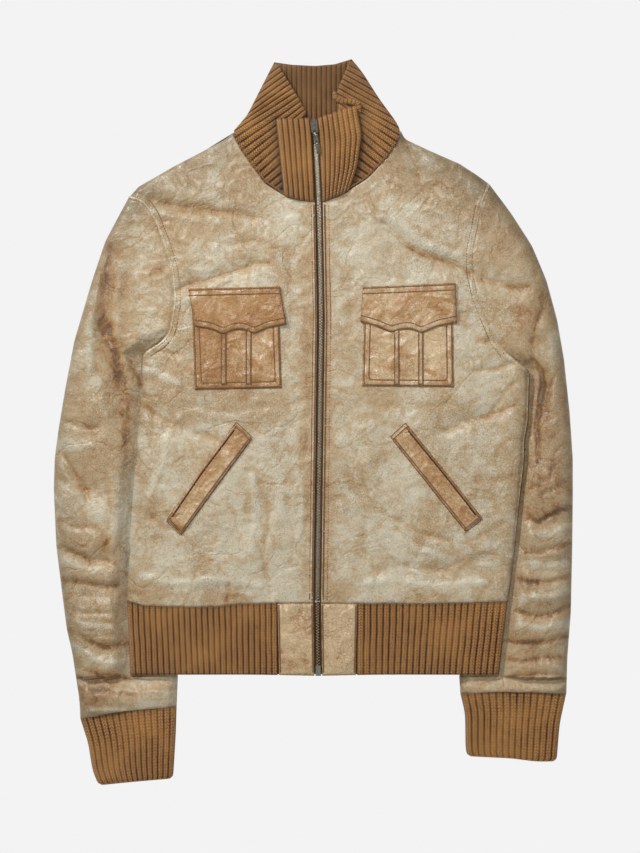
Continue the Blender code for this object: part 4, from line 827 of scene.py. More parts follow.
def make_cuff(side, word, finish):
    """A rib-knit cuff: a flattened tube whose ribs bend slightly."""
    outer, inner = pick(side, CUFF_SIDES_L, CUFF_SIDES_R)
    seam, end = pick(side, (CUFF_SEAM_L, CUFF_END_L), (CUFF_SEAM_R, CUFF_END_R))
    levels = np.linspace(0, 1, 36)
    shares = np.linspace(0, 1, 10 * CUFF_RIBS + 1)
    plan = blended(along(dense(outer, 3.0), levels), along(dense(inner, 3.0), levels), dense(seam, 3.0),
                   dense(end, 3.0), np.repeat(shares[None], len(levels), axis=0), reach=0.5)
    plan = round_corners(plan, levels, 3.2)
    low_phase = np.linspace(CUFF_RIBS, 0, 8 * CUFF_RIBS + 1)
    rib, low_rib = rib_shape(shares * CUFF_RIBS), rib_shape(low_phase)
    rings = []
    for n, row in enumerate(plan):
        run = lengths(row)
        gap = np.minimum(run, run[-1] - run)
        lip = 1.4 * (1 - smooth((1 - levels[n]) * 12)) + 0.8 * (1 - smooth(levels[n] * 16))
        z = SLEEVE_FLAT + (CUFF_TOP - SLEEVE_FLAT) * round_off(gap, CUFF_ROUND) + 0.9 * rib - 0.5 - lip
        z = z + noise(row[:, 0], row[:, 1], 20.0, 2) * 0.35
        low_at = np.linspace(run[-1] - CUFF_INSET, CUFF_INSET, len(low_phase))
        low = np.stack([np.interp(low_at, run, row[:, k]) for k in range(2)], axis=-1)
        rings.append(np.concatenate([raised(row, z), raised(low, 0.9 * (1 - low_rib) + lip * 0.5)]))
    across = np.concatenate([shares * CUFF_RIBS, low_phase])
    uv = ribbed(across, levels, CUFF_DEEP / KNIT_ROW)[1]
    relief = np.repeat(np.concatenate([rib, low_rib])[None], len(levels), axis=0)
    grid = np.array(rings)[::-1]
    return knit(f"cuff_{word}_knit", grid, relief[::-1], uv[::-1], finish, [f"cuff_rib_{word}"],
                side > 0, closed=True)


def make_back(finish):
    """The leather back, its creases pressed up from the ground."""
    grids = []
    middle = [p for p in NECK_BACK if abs(p[0]) < 10][0]
    for side in (-1, 1):
        seam = pick(side, HEM_SEAM_L, HEM_SEAM_R)[-1]
        edge, armhole = pick(side, SIDE_L, SIDE_R), pick(side, ARMHOLE_L, ARMHOLE_R)
        shoulder = pick(side, SHOULDER_L, SHOULDER_R)
        pit = armhole[0][1]
        neck = [(0.0, middle[1])] + [p for p in NECK_BACK if side * p[0] > 10][::side]
        low = np.linspace(seam[1], pit, BACK_ROWS)
        y = np.concatenate([low, np.linspace(pit, middle[1], 60)[1:]])
        centre = np.stack([np.zeros(len(y)), y], axis=-1)
        inner = np.concatenate([centre, dense(neck, 2.5)[1:]])
        side_low = at_height(edge, low)
        arm = along(dense(armhole, 2.0), np.linspace(0, 1, len(inner) - BACK_ROWS + 1))
        outer = np.concatenate([side_low, arm[1:]])
        foot = np.array([(0.0, seam[1]), (side * 100.0, seam[1]), tuple(side_low[0])])
        shares = np.repeat(np.linspace(0, 1, 60)[None], len(inner), axis=0)
        plan = blended(inner, outer, dense(foot, 4.0), dense([neck[-1], shoulder[-1]], 4.0), shares)
        grid = raised(plan, under_creases(plan) * smooth(np.minimum(1.0, (1 - shares) * 8)))
        grids.append(grid[:, ::-1] if side < 0 else grid[:, 1:])
    rows = min(len(g) for g in grids)
    grid = with_rims(np.concatenate([g[:rows] for g in grids], axis=1), -BACK_WALL, foot=0.0)
    return shell("back_hide", grid[:, ::-1], finish, ["back"])


def make_hem_back(finish):
    """The ribbed hem of the back, its ribs against the ground."""
    ribs = HEM_RIBS_LEFT + HEM_RIBS_RIGHT + 6
    shares = np.linspace(0, 1, ribs * 8 + 1)
    levels = np.linspace(0, 1, 24)
    y = HEM_BACK_TOP - levels * 85.0
    ends = [np.stack([body_edge(side, y), y], axis=-1)[:, None] for side in (-1, 1)]
    plan = ends[0] * (1 - shares)[None, :, None] + ends[1] * shares[None, :, None]
    rib, uv = ribbed(shares * ribs, levels, HEM_DEEP / KNIT_ROW)
    grid, rib, uv = pad_row(raised(plan, 1.1 * (1 - rib)), rib, uv, -KNIT_WALL)
    return knit("hem_back_knit", grid, rib, uv, finish, ["hem_rib_back"])


def make_collar_side(side, word, finish):
    """One folded side of the collar: ribs fan from the seam or the silhouette to the rim."""
    edge, rim = pick(side, COLLAR_EDGE_L, COLLAR_EDGE_R), pick(side, COLLAR_RIM_L, COLLAR_RIM_R)
    neck = pick(side, NECK_L, NECK_R)[::-1]
    start_path = edge[::-1][:-1] + [(x, y) for x, y in neck if y > rim[-1][1] + 2] + [rim[-1]]
    edge_run, start_run, rim_run = (lengths(line(path))[-1] for path in (edge, start_path, rim))
    on_edge = np.linspace(6.0, edge_run, 7 * 9 + 1)
    on_neck = np.linspace(edge_run, start_run, (COLLAR_SIDE_RIBS - 7) * 9 + 1)
    starts = np.concatenate([on_edge, on_neck[1:]])
    from_seam = [0, edge_run, edge_run + 20, edge_run + 40, edge_run + 60, edge_run + 80, start_run]
    ends = np.interp(starts, from_seam, [0, 44, 58, 71, 103, 140, rim_run])
    last = along(dense(rim, 2.0), ends / rim_run)
    levels = np.linspace(0, 1, 40)
    plan = between(along(dense(start_path, 2.0), starts / start_run), last, levels)
    plan[..., 0] += np.sin(levels * math.pi)[:, None] * noise(last[:, 0], last[:, 1], 18.0, 3)[None] * 0.8
    rib, uv = ribbed(np.linspace(0, COLLAR_SIDE_RIBS, len(starts)), levels, 31)
    lip = 1 - smooth((1 - levels) * 14)
    z = collar_side_top(plan, side) - 0.2 + COLLAR_RIB * rib
    z = z + 1.3 * np.exp(-((1 - levels) / 0.1) ** 2)[:, None] - 2.2 * lip[:, None]
    grid, rib, uv = edge_row(raised(plan, z), rib, uv, False, level=2.6, share=1.0)
    grid, rib, uv = edge_row(grid, rib, uv, True, 1.8)
    return knit(f"collar_side_{word}_knit", grid, rib, uv, finish, [f"collar_side_{word}"], side > 0)


def make_collar_front(side, word, finish):
    """A front stretch of the collar, from the zip to the line where it folds under."""
    zip_edge, fold = pick(side, COLLAR_FRONT_L, COLLAR_FRONT_R)
    ribs, steps = pick(side, (6, 10), (8, 9))
    columns = np.linspace(0, 1, steps * ribs + 1)
    levels = np.linspace(0, 1, 40)
    a, b = along(dense(zip_edge, 2.0), levels), along(dense(fold, 2.0), levels)
    plan = a[:, None] * (1 - columns[None, :, None]) + b[:, None] * columns[None, :, None]
    neck = dense(pick(side, NECK_L, NECK_R), 1.5)
    order = np.argsort(neck[:, 0])
    neck_y = np.interp(plan[0, :, 0], neck[order, 0], neck[order, 1])
    plan[..., 1] += (neck_y - plan[0, :, 1])[None] * (1 - levels[:, None]) ** 2
    run = np.linalg.norm(b - a, axis=1)[:, None] * (1 - columns)[None]
    rise = COLLAR_FRONT_ZIP + (COLLAR_FRONT_TOP - COLLAR_FRONT_ZIP) * smooth(columns * 1.6)[None]
    low = COLLAR_LOW + RIB_HEIGHT + SEAM + 1.2
    rib, uv = ribbed(columns * ribs, levels, 29)
    z = low + (rise - low) * round_off(run, 7.0) - 0.2 + COLLAR_RIB * rib
    z = z - 1.6 * (1 - smooth((1 - levels) * 14))[:, None] + noise(plan[..., 0], plan[..., 1], 22.0, 4) * 0.3
    grid, rib, uv = edge_row(raised(plan, z), rib, uv, True, 2.0)
    grid, rib, uv = pad_row(grid, rib, uv, 1.8)
    return knit(f"collar_front_{word}_knit", grid, rib, uv, finish, [f"collar_front_{word}"], side < 0)


def make_curl(finish):
    """The rolled lip where the collar's right rim turns under its front stretch."""
    path = dense([(24, 387), (26, 379), (33, 375), (44, 374.5), (52, 371.5), (55, 362)], 0.6)
    run = lengths(path)
    across = sideways(path)
    phase = run / 4.6
    size = (1.0 + 2.3 * smooth(np.minimum(run, run[-1] - run) / 5.0)) * (0.86 + 0.14 * rib_shape(phase))
    turns = np.linspace(0, 2 * math.pi, 21)[:-1]
    rings = [raised(path + across * (math.cos(angle) * size)[:, None], 8.6 + math.sin(angle) * size * 0.9)
             for angle in turns]
    grid = np.array(rings).transpose(1, 0, 2)
    rib = np.repeat(rib_shape(phase)[:, None], len(turns), axis=1)
    uv = np.stack(np.broadcast_arrays(phase[:, None], turns[None] * 1.4), axis=-1)
    return knit("collar_curl_knit", grid, rib, uv, finish, [], True, closed=True)


def make_collar_back(finish):
    """The collar's back stretch, its inner side's ribs showing inside the neck."""
    ribs = 34
    shares = np.linspace(0.01, 0.99, ribs * 7 + 1)
    base = along(dense([(x, y - 6) for x, y in NECK_BACK], 2.0), shares)
    top_path = line(COLLAR_EDGE_L[:-1] + COLLAR_RIM_BACK + COLLAR_EDGE_R[::-1][1:])
    top = np.stack([base[:, 0], np.interp(base[:, 0], top_path[:, 0], top_path[:, 1])], axis=-1)
    levels = np.linspace(0, 1, 40)
    plan = between(base, top, levels)
    rib, uv = ribbed(shares * ribs, levels, 30)
    lip = 1 - smooth((1 - levels) * 16)
    z = 2.4 + rib - 1.2 * lip[:, None] + np.exp(-((1 - levels) / 0.12) ** 2)[:, None]
    grid, rib, uv = edge_row(raised(plan, z), rib, uv, True, level=0.4)
    return knit("collar_back_knit", grid, rib, uv, finish, ["collar_back"])


def patch_swell(where):
    """Small dents of the stiff trimmings."""
    x, y = where[..., 0], where[..., 1]
    return 1.7 * noise(x, y, 19.0, 7) + 0.5 * noise(x, y, 8.0, 2)


def patch(name, foot, head, lift, thick, nodes, step=1.5, edge=2.2, swell=DENTS):
    """A leather patch between two plan lines, laid on the front and rounded at its edges."""
    foot, head = line(foot), line(head)
    wide, tall = lengths(foot)[-1], np.linalg.norm(foot[0] - head[0])
    across = np.linspace(0, 1, max(int(wide / step), 4))
    up = np.linspace(0, 1, max(int(tall / step), 4))
    plan = between(along(foot, across), along(head, across), up)
    inside = np.minimum(np.minimum(across, 1 - across)[None] * wide, np.minimum(up, 1 - up)[:, None] * tall)
    z = hide_front(plan) + lift + thick * (0.35 + 0.65 * round_off(inside, edge)) + swell * patch_swell(plan)
    for gap in SEAM_GAPS:
        z = z - 0.22 * np.exp(-((inside - gap) / 0.9) ** 2)
    grid, near = with_rims(raised(plan, z), thick + 0.6), np.pad(inside, 1, mode="constant")
    if not facing_up(grid):
        grid, near = grid[:, ::-1], near[:, ::-1]
    return shell(name, grid, PATCH, nodes, values={"near": np.exp(-near / 1.6).ravel()})


STITCHES = []
SLITS = []
STRIPS = []


def over(lift):
    """The surface of a trimming whose top lies this high over the front."""
    return lambda where: hide_front(where) + lift + DENTS * patch_swell(where)


def stitch(path, height, spacing=3.1):
    """Adds a row of thread stitches along a plan path at a surface's height."""
    path = line(path)
    ribbon(path, height)
    count = max(int(lengths(path)[-1] / spacing), 1)
    spots = np.arange(count)
    middles = along(path, (spots + 0.5) / count)
    ends = [along(path, np.clip((spots + share) / count, 0, 1)) for share in (0.1, 0.9)]
    ahead = ends[1] - ends[0]
    ahead = ahead / np.maximum(np.linalg.norm(ahead, axis=1, keepdims=True), 1e-6)
    STITCHES.extend(zip(middles, ahead, height(middles)))


def ribbon(path, height, half=0.75, lift=0.14):
    """Adds a narrow strip on the surface along a seam, pressed brown by the needle."""
    path = dense(path, 2.0)
    across = sideways(path) * half
    rows = zip((path - across, path, path + across), (-0.05, lift, -0.05))
    STRIPS.append(np.stack([raised(row, height(row) + up) for row, up in rows]))


def make_ribbons(name, finish):
    """All the strips so far as one mesh."""
    points, faces = [], []
    for strip in STRIPS:
        base, cols = len(points), strip.shape[1]
        points.extend(strip.reshape(-1, 3))
        for r in range(2):
            for a in range(base + r * cols, base + (r + 1) * cols - 1):
                faces.append((a, a + cols, a + cols + 1, a + 1))
    STRIPS.clear()
    add_piece(name, points, faces, finish)


def make_stitches(finish):
    """All the stitches as one mesh of short pointed threads."""
    points, faces = [], []
    for middle, ahead, height in STITCHES:
        base = len(points)
        left = np.array([-ahead[1], ahead[0]])
        for share, size in ((-1.0, 0.35), (-0.55, 1.0), (0.55, 1.0), (1.0, 0.35)):
            for k in range(4):
                angle = math.pi / 4 + k * math.pi / 2
                spot = middle + ahead * STITCH_HALF * share + left * math.cos(angle) * THREAD_HALF * size
                points.append((*spot, height + math.sin(angle) * THREAD_HALF * 0.8 * size + 0.12))
        for r in range(3):
            for k in range(4):
                d, a = (k + 1) % 4, base + r * 4
                faces.append((a + k, a + 4 + k, a + 4 + d, a + d))
        faces.append((base, base + 1, base + 2, base + 3))
        faces.append((base + 15, base + 14, base + 13, base + 12))
    add_piece("topstitching", points, faces, finish)


def parallel(path, gap):
    """A path moved sideways, to its left where the gap is positive."""
    path = dense(path, 2.0)
    return path + sideways(path) * gap


def make_teeth(finish):
    """Two rows of meshed teeth on their cords, from the end box to the slider."""
    points, faces = [], []
    cube = [(0, 1, 2, 3), (7, 6, 5, 4), (0, 4, 5, 1), (1, 5, 6, 2), (2, 6, 7, 3), (3, 7, 4, 0)]
    for y in np.arange(-283.0, 338.0, TOOTH_PITCH):
        x = float(zip_x(y))
        for side in (-1, 1):
            at = y + (TOOTH_PITCH / 2 if side > 0 else 0)
            root, tip = x + side * 1.9, x + side * 0.05
            base = len(points)
            for z, inset in ((7.4, 0.0), (9.5, 0.22)):
                for px, py in ((root, at - 0.6), (tip, at - 0.4), (tip, at + 0.4), (root, at + 0.6)):
                    in_x, in_y = math.copysign(inset, px - x), math.copysign(inset * 0.6, py - at)
                    points.append((px - in_x, py - in_y, z))
            faces.extend(tuple(base + k for k in face) for face in cube)
    add_piece("zip_teeth", points, faces, finish, ["zip_chain"], soft=False)


def tone(red, green, blue):
    """A colour read off as 0 to 255 in display values."""
    return tuple((v / 255) ** 2.2 for v in (red, green, blue)) + (1.0,)


def dimmed(colour, share):
    """A darker tone of a colour."""
    return tuple(c * share for c in colour[:3]) + (1.0,)


class Nodes:
    """Short ways to add and join shader nodes."""

    def __init__(self, name):
        self.material = bpy.data.materials.new(name)
        self.material.use_nodes = True
        self.tree = self.material.node_tree
        self.shader = self.tree.nodes["Principled BSDF"]
        self.where = self.tree.nodes.new("ShaderNodeTexCoord").outputs["Object"]

    def put(self, socket, value):
        if isinstance(value, bpy.types.NodeSocket):
            self.tree.links.new(value, socket)
        else:
            socket.default_value = value

    def set(self, **inputs):
        for key, value in inputs.items():
            self.put(self.shader.inputs[key.replace("_", " ")], value)

    def noise(self, scale, detail=4.0, rough=0.55, warp=0.0):
        node = self.tree.nodes.new("ShaderNodeTexNoise")
        self.put(node.inputs["Vector"], self.where)
        for key, value in (("Scale", scale), ("Detail", detail), ("Roughness", rough), ("Distortion", warp)):
            node.inputs[key].default_value = value
        return node.outputs["Fac"]

    def cells(self, scale):
        node = self.tree.nodes.new("ShaderNodeTexVoronoi")
        node.feature = "DISTANCE_TO_EDGE"
        self.put(node.inputs["Vector"], self.where)
        node.inputs["Scale"].default_value = scale
        return node.outputs["Distance"]

    def value(self, name):
        node = self.tree.nodes.new("ShaderNodeAttribute")
        node.attribute_name = name
        return node.outputs["Fac"]

    def calc(self, kind, a, b=0.0, clamp=False):
        node = self.tree.nodes.new("ShaderNodeMath")
        node.operation = kind
        node.use_clamp = clamp
        self.put(node.inputs[0], a)
        self.put(node.inputs[1], b)
        return node.outputs[0]

    def plus(self, a, b):
        return self.calc("ADD", a, b)

    def minus(self, a, b):
        return self.calc("SUBTRACT", a, b)

    def times(self, a, b):
        return self.calc("MULTIPLY", a, b)

    def off_half(self, value):
        return self.calc("ABSOLUTE", self.minus(value, 0.5))

    def ramp(self, value, low, high, out_low=0.0, out_high=1.0):
        node = self.tree.nodes.new("ShaderNodeMapRange")
        node.interpolation_type = "SMOOTHSTEP"
        self.put(node.inputs["Value"], value)
        for key, number in (("From Min", low), ("From Max", high), ("To Min", out_low), ("To Max", out_high)):
            node.inputs[key].default_value = number
        return node.outputs["Result"]

    def mix(self, share, a, b):
        node = self.tree.nodes.new("ShaderNodeMix")
        node.data_type = "RGBA"
        for key, value in (("Factor", share), (6, a), (7, b)):
            self.put(node.inputs[key], value)
        return node.outputs[2]

    def bump(self, height, strength, distance_m, under=None):
        node = self.tree.nodes.new("ShaderNodeBump")
        node.inputs["Strength"].default_value = strength
        node.inputs["Distance"].default_value = distance_m
        self.put(node.inputs["Height"], height)
        if under is not None:
            self.put(node.inputs["Normal"], under)
        return node.outputs["Normal"]


def leather_finish(name, colours, stain_gain, gloss, coat, patch_edges=False):
    """Distressed leather: cream rubbed over ochre and brown, crackle grain, uneven gloss, painted shade at
    the silhouettes and in crease troughs, painted highlight on crease ridges.
    """
    n = Nodes(name)
    cream, tan, brown, dark = colours
    large, middle = n.noise(11.0, 6.0, 0.62, 0.9), n.noise(38.0, 7.0, 0.66, 1.1)
    fine, flecks = n.noise(230.0, 5.0, 0.75), n.noise(620.0, 3.0, 0.6)
    vein = n.ramp(n.off_half(n.noise(17.0, 3.0, 0.5, 0.9)), 0.0, 0.05, 1.0, 0.0)
    hair = n.ramp(n.off_half(n.noise(70.0, 3.0, 0.5, 0.8)), 0.0, 0.03, 1.0, 0.0)
    grain = n.minus(fine, 0.5)

    # How far the pale finish is worn through, with painted shade added in the crease troughs and painted
    # highlight on the crease ridges
    worn = n.plus(n.times(large, 0.4), n.times(middle, 0.6))
    worn = n.plus(worn, n.times(grain, 0.34))
    worn = n.plus(worn, n.times(n.value("stain"), stain_gain * 0.3))
    # Painted shade in the crease troughs, then painted highlight on the crease ridges
    worn = n.plus(worn, n.times(n.value("fold"), n.ramp(middle, 0.3, 0.6, 0.08, 0.32)))
    worn = n.minus(worn, n.times(n.value("ridge"), 0.14))
    worn = n.plus(worn, n.times(vein, n.ramp(large, 0.4, 0.62, 0.02, 0.12)))
    worn = n.plus(worn, n.times(hair, 0.04))

    colour = n.mix(n.ramp(worn, 0.42, 0.64), cream, tan)
    colour = n.mix(n.ramp(worn, 0.60, 0.92), colour, brown)
    colour = n.mix(n.ramp(n.plus(worn, n.times(fine, 0.2)), 0.88, 1.2), colour, dark)
    colour = n.mix(n.ramp(flecks, 0.52, 0.72, 0.0, 0.5), colour, dark)
    colour = n.mix(n.ramp(n.noise(420.0, 3.0, 0.7), 0.55, 0.72, 0.0, 0.45), colour, cream)
    colour = n.mix(n.ramp(n.noise(70.0, 4.0, 0.7, 1.2), 0.60, 0.74, 0.0, 0.45), colour, cream)
    # Painted shade towards the silhouettes, where the cloth turns away from the light
    shade = n.calc("MULTIPLY", n.value("dark"), n.ramp(middle, 0.2, 0.7, 0.6, 1.0), True)
    colour = n.mix(shade, colour, PAINTED_EDGE_SHADE)
    if patch_edges:
        colour = n.mix(n.times(n.value("near"), n.ramp(fine, 0.35, 0.6, 0.1, 0.7)), colour, dark)
    crack = n.ramp(n.cells(330.0), 0.0, 0.16)
    colour = n.mix(n.times(n.minus(1.0, crack), n.ramp(large, 0.42, 0.62, 0.08, 0.38)), colour, dark)

    rough = n.plus(n.ramp(middle, 0.3, 0.7, *gloss), n.times(grain, 0.2))
    normal = n.bump(n.noise(24.0, 3.0, 0.5, 0.9), 0.6, 0.0046)
    normal = n.bump(n.minus(1.0, vein), 0.5, 0.0007, normal)
    normal = n.bump(n.minus(n.noise(90.0, 3.0, 0.5, 0.4), n.times(hair, 0.25)), 0.6, 0.0011, normal)
    normal = n.bump(fine, 0.6, 0.0005, normal)
    normal = n.bump(crack, 0.4, 0.00025, normal)
    n.set(Base_Color=colour, Roughness=rough, Coat_Weight=coat, Coat_Roughness=0.22, Normal=normal)
    return n.material


def knit_finish(name, face, groove, high, deep):
    """Rib knit: V stitches down each rib, painted shade in the grooves and between the loops, painted
    highlight on the rib tops and loops, and a little fuzz.
    """
    n = Nodes(name)
    uv = n.tree.nodes.new("ShaderNodeUVMap")
    uv.uv_map = "UVMap"
    split = n.tree.nodes.new("ShaderNodeSeparateXYZ")
    n.put(split.inputs[0], uv.outputs[0])
    across = n.off_half(n.calc("FRACT", split.outputs[0]))
    lane = n.off_half(n.calc("FRACT", n.times(split.outputs[0], 2.0)))
    slant = n.plus(split.outputs[1], n.times(lane, 1.5))
    loop = n.calc("ABSOLUTE", n.calc("SINE", n.times(slant, math.pi)))
    rib = n.value("rib")
    fuzz, tint = n.noise(640.0, 3.0, 0.7), n.noise(16.0, 4.0, 0.6)
    # Painted shade in the grooves between ribs, then painted highlight on the loops along the rib tops
    colour = n.mix(n.ramp(rib, 0.25, 0.8), groove, face)
    colour = n.mix(n.times(n.ramp(loop, 0.35, 1.0), n.ramp(rib, 0.5, 1.0, 0.0, 0.8)), colour, high)
    # Painted shade between the loops
    colour = n.mix(n.ramp(loop, 0.7, 0.1, 0.0, 0.85), colour, groove)
    colour = n.mix(n.ramp(fuzz, 0.5, 0.64, 0.0, 0.5), colour, groove)
    colour = n.mix(n.ramp(fuzz, 0.47, 0.34, 0.0, 0.5), colour, high)
    # More painted shade along each rib's middle line and deep in the grooves
    colour = n.mix(n.ramp(across, 0.1, 0.02, 0.0, 0.5), colour, groove)
    colour = n.mix(n.ramp(rib, 0.45, 0.1), colour, groove)
    colour = n.mix(n.ramp(tint, 0.4, 0.7, 0.0, 0.3), colour, high)
    # Painted shadow where the knit lies under other layers
    colour = n.mix(n.times(n.value("deep"), 0.8), colour, deep)
    normal = n.bump(n.times(loop, n.minus(1.1, across)), 0.8, 0.0009)
    normal = n.bump(fuzz, 0.5, 0.0004, normal)
    n.set(Base_Color=colour, Roughness=0.95, Sheen_Weight=0.15, Sheen_Roughness=0.6, Normal=normal)
    return n.material


def metal_finish(name, colour, rough):
    """Antique metal with handling marks."""
    n = Nodes(name)
    scuff = n.noise(700.0, 4.0, 0.6)
    n.set(Base_Color=n.mix(n.ramp(scuff, 0.4, 0.7), colour, dimmed(colour, 0.4)), Metallic=1.0,
          Roughness=n.ramp(scuff, 0.3, 0.7, rough, rough + 0.2))
    return n.material


def plain_finish(name, colour, rough, bump_scale=0.0):
    """Thread or tape."""
    n = Nodes(name)
    grain = n.noise(1400.0, 2.0, 0.5)
    n.set(Base_Color=n.mix(n.ramp(grain, 0.35, 0.7, 0.0, 0.5), colour, dimmed(colour, 0.5)), Roughness=rough)
    if bump_scale:
        n.set(Normal=n.bump(grain, 0.6, bump_scale))
    return n.material


def give(node, finish):
    """Puts a finish on every slot of a CAD node."""
    for slot in bpy.data.objects[node].material_slots:
        slot.material = finish


# Colour of the painted shade towards the silhouettes
PAINTED_EDGE_SHADE = tone(112, 98, 74)
HIDE = leather_finish("leather_hide", (tone(205, 194, 168), tone(186, 160, 122), tone(164, 120, 74),
                                       tone(104, 74, 44)), 1.0, (0.32, 0.52), 0.18)
PATCH = leather_finish("leather_patch", (tone(206, 178, 138), tone(176, 130, 80), tone(146, 96, 46),
                                         tone(88, 54, 26)), 0.6, (0.22, 0.42), 0.3, patch_edges=True)
# Yarn colour, then the colours of the painted groove shade, the painted highlight and the painted shadow
KNIT = knit_finish("rib_knit_yarn", tone(152, 99, 43), tone(40, 18, 2), tone(210, 152, 82), tone(44, 26, 12))
# Colour of the painted shadow in the welt pocket slits
DEEP = plain_finish("slit_shadow", tone(46, 32, 20), 0.9)
RUBBED = plain_finish("rubbed_seam", tone(138, 98, 60), 0.5, 0.0003)
THREAD = plain_finish("brown_thread", tone(112, 76, 44), 0.7)
TAPE = plain_finish("zip_tape_weave", tone(84, 58, 38), 0.85, 0.0003)
BRASS = metal_finish("antique_brass", tone(236, 222, 194), 0.3)
GUNMETAL = metal_finish("dark_gunmetal", tone(84, 78, 70), 0.3)
STEEL = metal_finish("dull_steel", tone(170, 166, 158), 0.32)


def lay_trimmings(side, word):
    """The hem panel, chest pocket and welt of one front."""
    joint = pick(side, HEM_SEAM_L, HEM_SEAM_R)[1][0]
    top, low = (float(zip_x(y)) + side * ZIP_HALF for y in (-211, -295))
    foot = [(low, float(hem_bottom(low))), (joint - side * 2.0, float(hem_bottom(joint)))]
    patch(f"hem_panel_{word}", foot, [(top, -211.2), (joint, -211.4)], -1.2, 1.6, [f"hem_end_{word}"])
    facts = POCKETS[word]
    low_left, low_right, top_right, top_left = facts["body"]
    patch(f"pocket_{word}_patch", [low_left, low_right], [top_left, top_right], POCKET_LIFT, TRIM_WALL,
          [f"pocket_{word}"])
    top = BAND_TOP + BAND_HIDDEN
    for k, (x0, x1) in enumerate(facts["bands"], start=1):
        patch(f"pocket_{word}_band_{k}", [(x0, BAND_FOOT), (x1, BAND_FOOT)], [(x0, top), (x1, top)], 1.9,
              BAND_WALL, [f"band_{word}_{k}"], edge=1.2, swell=0.1)
    patch(f"pocket_{word}_flap", dense(facts["flap_edge"], 2.0), facts["flap_top"], FLAP_LIFT, TRIM_WALL,
          [f"flap_{word}"], step=1.4)
    upper, lower = WELTS[word]
    patch(f"welt_{word}_patch", lower, upper, WELT_LIFT, WELT_WALL, [f"welt_{word}"], step=1.2, edge=3.0)


def sew(side, word):
    """The topstitching of one front and its trimmings."""
    facts = POCKETS[word]
    pocket, flap = over(POCKET_LIFT + TRIM_WALL), over(FLAP_LIFT + TRIM_WALL)
    welt = over(WELT_LIFT + WELT_WALL)
    low_left, low_right, top_right, top_left = line(facts["body"])
    middle = (low_left + low_right + top_right + top_left) / 4
    for gap in (1.8, 7.6):
        stitch([c + np.sign(middle - c) * gap for c in (top_left, low_left, low_right, top_right)], pocket)
    for x0, x1 in facts["bands"]:
        for x in (x0 + 1.1, x1 - 1.1):
            stitch([(x, BAND_FOOT), (x, BAND_TOP + 10)], lambda where: pocket(where) + BAND_WALL)
    for gap in (1.8, 8.0):
        stitch([(x, y + gap) for x, y in facts["flap_edge"]], flap)
        stitch([(x, y - gap) for x, y in facts["flap_top"]], flap)

    upper, lower = WELTS[word]
    top, low = (along(path, np.linspace(0.05, 0.95, 40)) for path in (upper, lower))
    # Line of the painted shadow in the welt pocket's slit
    SLITS.append((low + (top - low) * 0.86, welt))
    top, low = (along(path, np.linspace(0.02, 0.98, 30)) for path in (upper, lower))
    for share in (0.1, 0.9):
        stitch(low + (top - low) * share, welt)
    corners = line([upper[0], upper[-1], lower[-1], lower[0], upper[0]])
    outward = corners - corners[:4].mean(axis=0)
    stitch(corners + outward / np.linalg.norm(outward, axis=1, keepdims=True) * 1.6, hide_front)
    for share in (0.02, 0.98):
        stitch([along(lower, share), along(upper, share)], welt)

    strip = pick(side, 9.0, 11.5)
    for off in (strip * 0.62, strip, ZIP_HALF + 1.6):
        stitch([(float(zip_x(y)) + side * off, y) for y in np.linspace(-208, 254, 40)], hide_front)
    for gap in (1.8, 7.0):
        stitch(parallel(pick(side, ARMHOLE_L, ARMHOLE_R)[1:-1], side * gap), hide_front)
    stitch(parallel(pick(side, NECK_L, NECK_R), side * 2.2), hide_front)
    panel, joint = over(0.4), pick(side, HEM_SEAM_L, HEM_SEAM_R)[1][0]
    low_x, top_x = (float(zip_x(y)) + side * (ZIP_HALF + 1.6) for y in (-295, -211))
    stitch([(low_x, -292), (top_x, -213)], panel)
    stitch([(joint - side * 3.6, -292), (joint - side * 1.8, -213)], panel)


for side, word in ((-1, "left"), (1, "right")):
    make_front(side, word, HIDE)
    make_sleeve(side, word, HIDE)
    for make in (make_hem, make_cuff, make_collar_side, make_collar_front):
        make(side, word, KNIT)
    lay_trimmings(side, word)
    sew(side, word)
make_collar_back(KNIT)
make_curl(KNIT)
make_back(HIDE)
make_hem_back(KNIT)
make_stitches(THREAD)
make_ribbons("pressed_seams", RUBBED)
for side, arm in ((-1, ARMHOLE_L), (1, ARMHOLE_R)):
    ribbon(parallel(arm, side * 1.2), hide_front, half=1.3, lift=0.9)
make_ribbons("seam_edges", HIDE)
# Painted shadow: a dark strip along each welt pocket's slit
for path, height in SLITS:
    ribbon(path, height, half=1.1, lift=0.1)
make_ribbons("welt_slits", DEEP)
make_teeth(BRASS)
for node, finish in (("zip_tape_left", TAPE), ("zip_tape_right", TAPE), ("zip_slider", GUNMETAL),
                     ("zip_pull", GUNMETAL), ("zip_box", STEEL)):
    give(node, finish)

